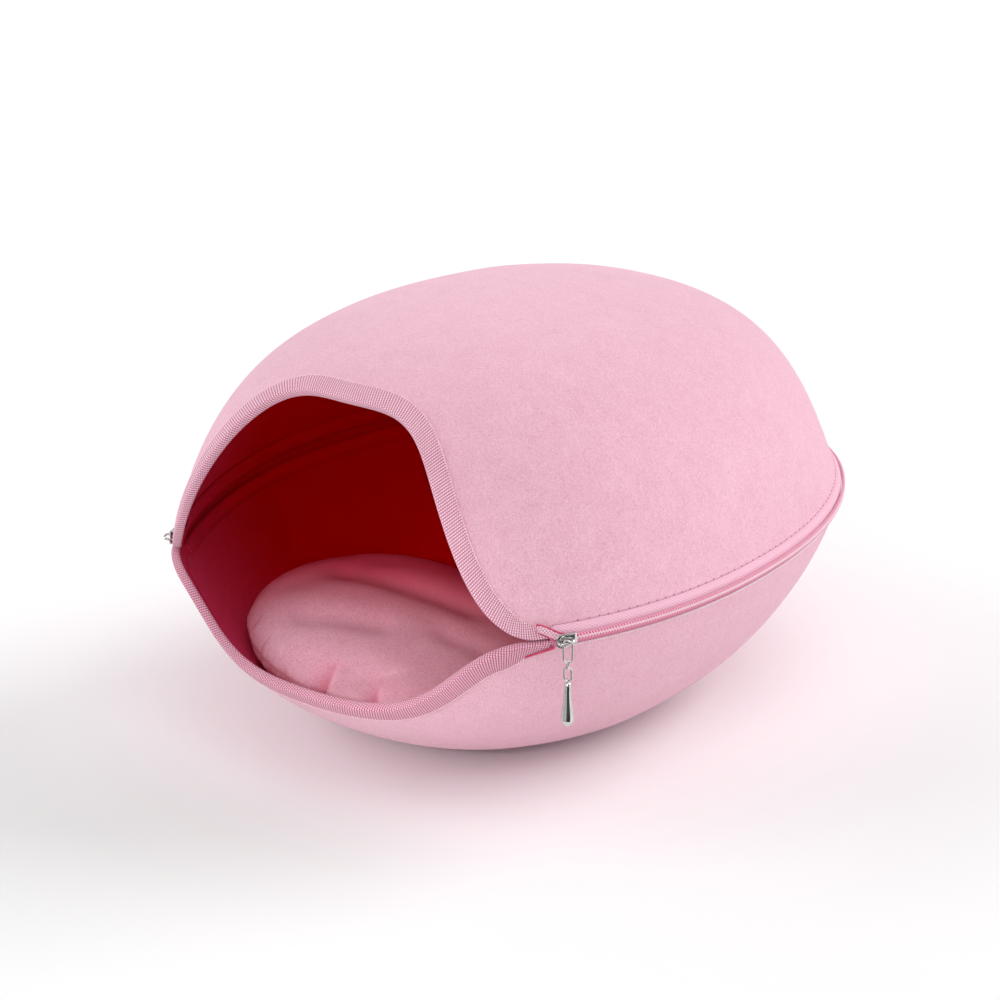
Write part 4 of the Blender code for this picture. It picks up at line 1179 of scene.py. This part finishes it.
def felt_under(x, y):
    """Height of the bowl's inner face over the plan, and how upright its normal is, by Newton."""
    angle = np.arctan2(x / HALF_WIDTH, -y / HALF_LENGTH)
    v = 0 * x + 0.5
    for _ in range(NEWTON_STEPS):
        around, onward, normal = slopes(BOWL, angle, v)
        point = surface(BOWL, angle, v) - normal * FELT
        right, ahead = x - point[..., 0], y - point[..., 1]
        area = around[..., 0] * onward[..., 1] - around[..., 1] * onward[..., 0]
        turn = (right * onward[..., 1] - ahead * onward[..., 0]) / area
        climb = (ahead * around[..., 0] - right * around[..., 1]) / area
        angle = angle + np.clip(turn, -0.2, 0.2)
        v = np.clip(v + np.clip(climb, -0.15, 0.15), 0, 0.999)
    return point[..., 2], np.abs(normal[..., 2])


def above_bowl(x, y):
    """The lowest that the cushion may lie over the plan, which leaves more room by the walls."""
    under, upright = felt_under(x, y)
    clear = CUSHION_CLEAR * np.clip((1 - upright) / WALL_UPRIGHT, 0.1, 1)
    return under + GAP + clear / upright


def cushion_edge(azimuth, tilt):
    """Height of the cushion's seam, at its full radius."""
    x = CUSHION_MIDDLE[0] + CUSHION_RADIUS * np.cos(azimuth)
    y = CUSHION_MIDDLE[1] + CUSHION_RADIUS * np.sin(azimuth)
    return np.maximum(CUSHION_EDGE + tilt, above_bowl(x, y) + CUSHION_LEAST)


def pillow_form(shrink):
    """A round pillow, its section a superellipse, leaning on the left wall: points and faces."""
    columns, layers = CUSHION_COLUMNS, CUSHION_LAYERS
    azimuth = np.arange(columns) * 2 * math.pi / columns
    height = np.linspace(-math.pi / 2, math.pi / 2, 2 * layers + 1)[1:-1, None]
    radial = np.abs(np.cos(height)) ** (2 / CUSHION_SQUARE)
    share = np.sin(height)
    reach = (CUSHION_RADIUS - shrink) * radial + 0 * azimuth
    x = CUSHION_MIDDLE[0] + reach * np.cos(azimuth)
    y = CUSHION_MIDDLE[1] + reach * np.sin(azimuth)
    tilt = -CUSHION_TILT * (x - CUSHION_MIDDLE[0])
    edge = cushion_edge(azimuth, tilt[layers - 1])
    top = edge + (CUSHION_CROWN - shrink + tilt - edge) * share
    z = np.maximum(np.where(share > 0, top, edge + (edge - FELT - shrink) * share), above_bowl(x, y))
    poles = [(*CUSHION_MIDDLE, FELT + 2 * GAP), (*CUSHION_MIDDLE, CUSHION_CROWN - shrink)]
    sheet = np.stack([x, y, z], -1)
    points = np.concatenate([sheet.reshape(-1, 3), poles])
    faces = grid_faces(len(sheet), columns, True).tolist()
    first_row = np.arange(columns)
    last_row = first_row + (len(sheet) - 1) * columns
    faces += fan(first_row, len(points) - 2).tolist()
    faces += fan(last_row, len(points) - 1, True).tolist()
    return points, faces


def places(mesh):
    """The mesh's points as an array."""
    flat = np.empty(3 * len(mesh.vertices), np.float32)
    mesh.vertices.foreach_get("co", flat)
    return flat.reshape(-1, 3).astype(float)


def finished(made):
    """The object's mesh with its modifiers worked in, and none left."""
    ready = made.evaluated_get(bpy.context.evaluated_depsgraph_get())
    mesh = bpy.data.meshes.new_from_object(ready)
    made.modifiers.clear()
    made.data = mesh
    return mesh


def blown(made, pressure, frames, cap):
    """The closed cloth filled by pressure, no point moved more than cap."""
    before = places(made.data)
    cloth = made.modifiers.new("Filling", "CLOTH")
    cloth.settings.use_pressure = True
    cloth.settings.uniform_pressure_force = pressure
    cloth.settings.effector_weights.gravity = 0
    cloth.settings.quality = 6
    cloth.settings.tension_stiffness = cloth.settings.compression_stiffness = 8
    cloth.settings.bending_stiffness = 0.3
    cloth.point_cache.frame_start, cloth.point_cache.frame_end = 1, frames
    for frame_number in range(1, frames + 1):
        bpy.context.scene.frame_set(frame_number)
    moved = places(finished(made)) - before
    bpy.context.scene.frame_set(1)
    far = np.linalg.norm(moved, axis=1, keepdims=True)
    points = before + moved * np.minimum(1, cap / np.maximum(far, 1e-9))
    made.data.vertices.foreach_set("co", points.astype(np.float32).ravel())


def trough(points, start, end, width, depth):
    """How far a soft fold between two places of the plan lies below the rest of the top."""
    start, along = np.array(start), np.array(end) - np.array(start)
    share = np.clip(((points[:, :2] - start) @ along) / (along @ along), 0, 1)
    beside = np.linalg.norm(points[:, :2] - start - share[:, None] * along, axis=1)
    return depth * np.exp(-((beside / width) ** 2))


def drawn_in(azimuth, radial, above):
    """How far the tucks and the seam draw points in and down, and how much painted shade their hollows
    get.

    A tuck is a valley that falls off exponentially to both sides, more steeply on one, and fades
    towards the middle. The seam is a bell of the height over it.
    """
    draw, drop, fold_shade_share = 0 * radial, 0 * radial, 0 * radial
    for middle, depth, wide, long in TUCKS:
        beside = np.angle(np.exp(1j * (azimuth - middle))) * radial
        lean = np.where(beside > 0, *TUCK_LEAN)
        valley = np.exp(-np.abs(beside) * lean / wide)
        near = np.clip((radial - (CUSHION_RADIUS - long)) / long, 0, 1) ** 1.4
        draw += depth * valley * near
        drop += 0.8 * depth * valley * near * (above > 0)
        fold_shade_share = np.maximum(fold_shade_share, depth / TUCKS[0][1] * valley * near**0.5)
    margin = (1 - SEAM_FROM) * CUSHION_RADIUS
    seam = np.clip((radial - SEAM_FROM * CUSHION_RADIUS) / margin, 0, 1)
    seam = seam * np.exp(-((above / SEAM_WIDE) ** 2))
    return draw + SEAM_SUNK * seam, drop, np.maximum(fold_shade_share, 0.6 * seam)


def cushion(paint):
    """A round pillow: blown up a little, then drawn in at its seam by tucks, with folds on top."""
    made = piece("cushion_cover", *pillow_form(CUSHION_SHRINK), [paint])
    remesh = made.modifiers.new("Even", "REMESH")
    remesh.mode = "VOXEL"
    remesh.voxel_size = CUSHION_VOXEL
    finished(made)
    blown(made, CUSHION_PRESSURE, CUSHION_FRAMES, 2 * CUSHION_SHRINK)
    fine = made.modifiers.new("Fine", "SUBSURF")
    fine.levels = fine.render_levels = 2
    finished(made)
    points = places(made.data)
    from_middle = points[:, :2] - CUSHION_MIDDLE
    azimuth = np.arctan2(from_middle[:, 1], from_middle[:, 0])
    radial = np.linalg.norm(from_middle, axis=1)
    tilt = -CUSHION_TILT * (points[:, 0] - CUSHION_MIDDLE[0])
    above = points[:, 2] - cushion_edge(azimuth, tilt)
    draw, drop, fold_shade_share = drawn_in(azimuth, radial, above)
    for start, end, width, depth in FOLDS:
        drop += trough(points, start, end, width, depth) * (above > 0)
    points[:, :2] -= from_middle / np.maximum(radial, 1e-6)[:, None] * draw[:, None]
    points[:, 2] -= drop
    points[:, 2] = np.maximum(points[:, 2], above_bowl(points[:, 0], points[:, 1]))
    made.data.vertices.foreach_set("co", points.astype(np.float32).ravel())
    # The attribute marks painted shade in the tucks and along the seam.
    layer = made.data.attributes.new("folded", "FLOAT", "POINT")
    layer.data.foreach_set("value", np.clip(fold_shade_share, 0, 1).astype(np.float32))
    made.data.shade_smooth()
    made.data.update()
    return made


# ---------------------------------------------------------------- stage


def backdrop():
    """Pale floor under a dim plain surround, and two cards that show only as reflections."""
    paint = Paint("floor_paper", 0.9)
    paint.set("Base Color", (FLOOR_SHADE, FLOOR_SHADE, FLOOR_SHADE, 1.0))
    ends = (-FLOOR_REACH, FLOOR_REACH)
    grid = np.array([[x, y, 0.0] for y in ends for x in ends])
    piece("floor", grid, [[0, 1, 3, 2]], [paint.material])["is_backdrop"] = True

    bpy.context.scene.view_settings.view_transform = "Standard"
    world = bpy.data.worlds.new("studio")
    bpy.context.scene.world = world
    world.use_nodes = True
    surround = world.node_tree.nodes["Background"]
    surround.inputs["Color"].default_value = (1, 1, 1, 1)
    surround.inputs["Strength"].default_value = SURROUND

    for name, shade, first, last in CARDS:
        paint = Paint(name, 0.9)
        paint.set("Base Color", (shade, shade, shade, 1.0))
        turn = np.radians(np.linspace(first, last, 9))
        rim = np.stack([np.sin(turn), -np.cos(turn), 0 * turn], -1)
        card = np.concatenate([rim * CARD_NEAR, rim * CARD_FAR]) + np.array(CARD_AT)
        faces = grid_faces(2, len(turn), False, True).tolist()
        card = piece(name, card, faces, [paint.material])
        card.visible_camera = card.visible_diffuse = card.visible_shadow = False
        card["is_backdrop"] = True


def add_lamp(name, kind, power, toward):
    """A lamp that shines from a direction."""
    data = bpy.data.lights.new(name, kind)
    data.energy = power
    lamp = bpy.data.objects.new(name, data)
    lamp.rotation_euler = Vector(toward).to_track_quat("Z", "Y").to_euler()
    bpy.context.scene.collection.objects.link(lamp)
    return lamp


def lamps():
    """Far soft lamps round the cave, and a small one that shines in through the mouth."""
    for name, azimuth, height, power in LAMPS:
        level = math.cos(height)
        toward = (math.sin(azimuth) * level, -math.cos(azimuth) * level, math.sin(height))
        add_lamp(name, "SUN", power, toward).data.angle = LAMP_SPREAD

    spot = add_lamp("into_mouth", "SPOT", SPOT_POWER, SPOT_TOWARD)
    spot.data.shadow_soft_size = SPOT_RADIUS
    spot.data.spot_size, spot.data.spot_blend = SPOT_CONE, 1.0
    spot.location = Vector(SPOT_AT) + SPOT_FAR * Vector(SPOT_TOWARD).normalized()


def view():
    """The photograph's camera: it faces the seam's middle, turned away from the mouth's middle and
    raised, with the picture shifted a little."""
    turn, rise = VIEW_TURN, VIEW_RISE
    right = Vector((math.cos(turn), math.sin(turn), 0))
    level = math.sin(rise)
    up = Vector((-math.sin(turn) * level, math.cos(turn) * level, math.cos(rise)))
    back = right.cross(up)
    data = bpy.data.cameras.new("view")
    data.lens = FOCAL_PIXELS * SENSOR / PHOTO_PIXELS
    data.clip_start = 0.05
    data.shift_x, data.shift_y = VIEW_SHIFT
    camera = bpy.data.objects.new("view", data)
    camera.matrix_world = Matrix((right, up, back)).transposed().to_4x4()
    camera.location = Vector((0, 0, SEAM_HEIGHT)) + back * VIEW_FAR
    bpy.context.scene.collection.objects.link(camera)
    bpy.context.scene.camera = camera


# ---------------------------------------------------------------- assembly


def settle(made, slot, *nodes):
    """Fixes a piece to the cave and hides the solids that it stands for; slot, its finish, is not
    used.
    """
    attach(made, "root")
    if nodes:
        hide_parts(*nodes)
    return made


def felt_and_backs():
    """The pink felt outside; the felt inside and the backs of the tapes in red, with painted shade
    that grows further into the cave.
    """
    outer = felt_paint("felt", (0.76, 0.365, 0.480), (0.955, 0.585, 0.695), 0.00028, True)
    into = ((0, 1, 0), -0.19, -0.04)  # a direction, and where along it the painted shade comes on
    # The inside's red, darker further in, is painted shade.
    red, deep_red_shade = ((0.80, 0.06, 0.18), (0.93, 0.10, 0.26)), ((0.79, 0, 0), *into)
    inner = felt_paint("felt_inside", *red, 0.00025, False, deep_red_shade)
    red, deep_red_shade = ((0.70, 0.04, 0.13), (0.84, 0.07, 0.19)), ((0.82, 0, 0), *into)
    return outer, inner, felt_paint("cloth_inside", *red, 0.0002, False, deep_red_shade)


def bound_mouth(half, back_shade, selvedge):
    """One half's mouth tape and its stitching."""
    webbing = weave_paint(*half.webbing, RIB_PITCH, FLOAT_PITCH)
    tape = mouth_tape(half.which + "_mouth_tape", half.shell, half.mouth, [webbing, back_shade])
    settle(tape, "webbing", half.which + "_mouth_binding")
    name = half.which + "_mouth_stitches"
    stitches = mouth_stitching(name, half.shell, half.mouth, selvedge)
    settle(stitches, "webbing")


def corner_cloth(half, back_shade, crease_shadow):
    """What shows at the mouth's right corner: the zip tape's end over a red strip of painted shadow,
    or such a strip by the lip.
    """
    if half.shell is BOWL:
        return [settle(lip_crease("lip_tape_crease", [crease_shadow, crease_shadow]), "webbing")]
    pale_rose = ((0.66, 0.18, 0.31), (0.90, 0.50, 0.62), (0.99, 0.76, 0.84))
    weave = weave_paint("tape_end_weave", *pale_rose, END_PITCH, END_PITCH)
    end = zip_end("zip_tape_end", END_WIDTH, 0.0, [weave, back_shade])
    # A red strip of painted shadow under the zip tape's end.
    fold = zip_end("zip_tape_fold", FOLD_WIDTH, FOLD_SUNK, [crease_shadow, crease_shadow])
    return [settle(end, "webbing"), settle(fold, "webbing")]


def half_zip(half, back_shade, crease_shadow, cord):
    """One half's zip tape, its cloth at the corner, and its half of the coil."""
    twill = twill_paint(*half.twill, TWILL_PITCH)
    zipped = zip_tape(half.which + "_zip_cloth", half.shell, [twill, back_shade])
    settle(zipped, "webbing", half.which + "_zip_tape")
    ends = corner_cloth(half, back_shade, crease_shadow)
    nylon = nylon_paint(*half.nylon)
    coil = zip_coil(half.which + "_coil_turns", half.shell, [nylon, cord])
    settle(coil, "nylon_coil", half.which + "_zip_coil")


def felt_and_tapes():
    """Both shells, each with its mouth tape, zip tape and half of the coil."""
    outer, inner, back_shade = felt_and_backs()
    # Deep red strips of painted shadow in the creases at the mouth's right corner.
    crease_shadow = thread_paint("crease_red", (0.52, 0.02, 0.08), (0.70, 0.07, 0.17), 0.8)
    # The coil's filler cord is real; its dark rose is painted shade in the gaps between the turns.
    cord = thread_paint("coil_cord", (0.70, 0.13, 0.27), (0.80, 0.19, 0.34), 0.8)
    selvedge = thread_paint("selvedge_thread", (0.96, 0.56, 0.68), (0.99, 0.72, 0.81))
    for half in HALVES:
        felt = felt_shell(half.which + "_felt", half.shell, half.mouth, [outer, inner])
        settle(felt, "felt", half.which + "_shell")
        bound_mouth(half, back_shade, selvedge)
        half_zip(half, back_shade, crease_shadow, cord)


def edge_sewing():
    """The pale stitches along the bowl's edge, and dark dots of painted shade at the needle holes
    along the dome's.
    """
    thread = thread_paint("edge_thread", (1.0, 0.80, 0.88), (1.0, 0.90, 0.94))
    # Dark dots of painted shade where the needle holes are.
    hole_shade = thread_paint("needle_hole", (0.32, 0.08, 0.14), (0.48, 0.16, 0.24), 0.9)
    for name, shell, row, stitch, paint in (
        ("lower_edge_stitches", BOWL, EDGE_ROW, EDGE_STITCH, thread),
        ("upper_edge_stitches", DOME, NEEDLE_ROW, NEEDLE_HOLE, hole_shade),
    ):
        settle(stitch_row(name, *felt_edge_line(shell, *row), stitch, paint), "felt")


def metal():
    """Both sliders, and on the right one's crown the loop, link, ring and drop, each hung in the
    one above it."""
    chrome = metal_paint("chrome")
    for name, side, droop in (("right", 1, SLIDER_DROOP), ("left", -1, 0.0)):
        settle(zip_slider("slider_" + name, side, droop, chrome), "chrome", "zip_slider_" + name)
    top = CROWN_BAR + PULL_SLACK + LOOP_WIRE
    for ring in CHAIN:
        settle(oval_ring(ring, top, chrome), "chrome", ring.name)
        bottom = top - 2 * ring.half_height
        top = bottom + ring.wire + GAP + LINK_WIRE
    settle(pull_drop(bottom, chrome), "chrome", "pull_drop")


def filling():
    """The loose cushion, paler at the mouth, with richer painted shade towards the back and in its
    folds.
    """
    pile = ((0.81, 0.33, 0.45), (0.99, 0.60, 0.71))
    # Painted shade: a richer red towards the back, and in the folds.
    deep_shade = ((0.80, 0.08, 0.16), (-0.616, 0.788, 0), -0.095, 0.010)
    fleece = felt_paint("fleece", *pile, 0.00034, False, deep_shade, (0.78, 0.17, 0.28))
    pillow = cushion(fleece)
    settle(pillow, "fleece", "cushion")


for old in ("Cube", "Light", "Camera"):
    if old in bpy.data.objects:
        bpy.data.objects.remove(bpy.data.objects[old])
felt_and_tapes()
edge_sewing()
metal()
filling()
backdrop()
lamps()
view()
[[list(map(float, corner)) for corner in box] for box in (cad_box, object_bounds())]
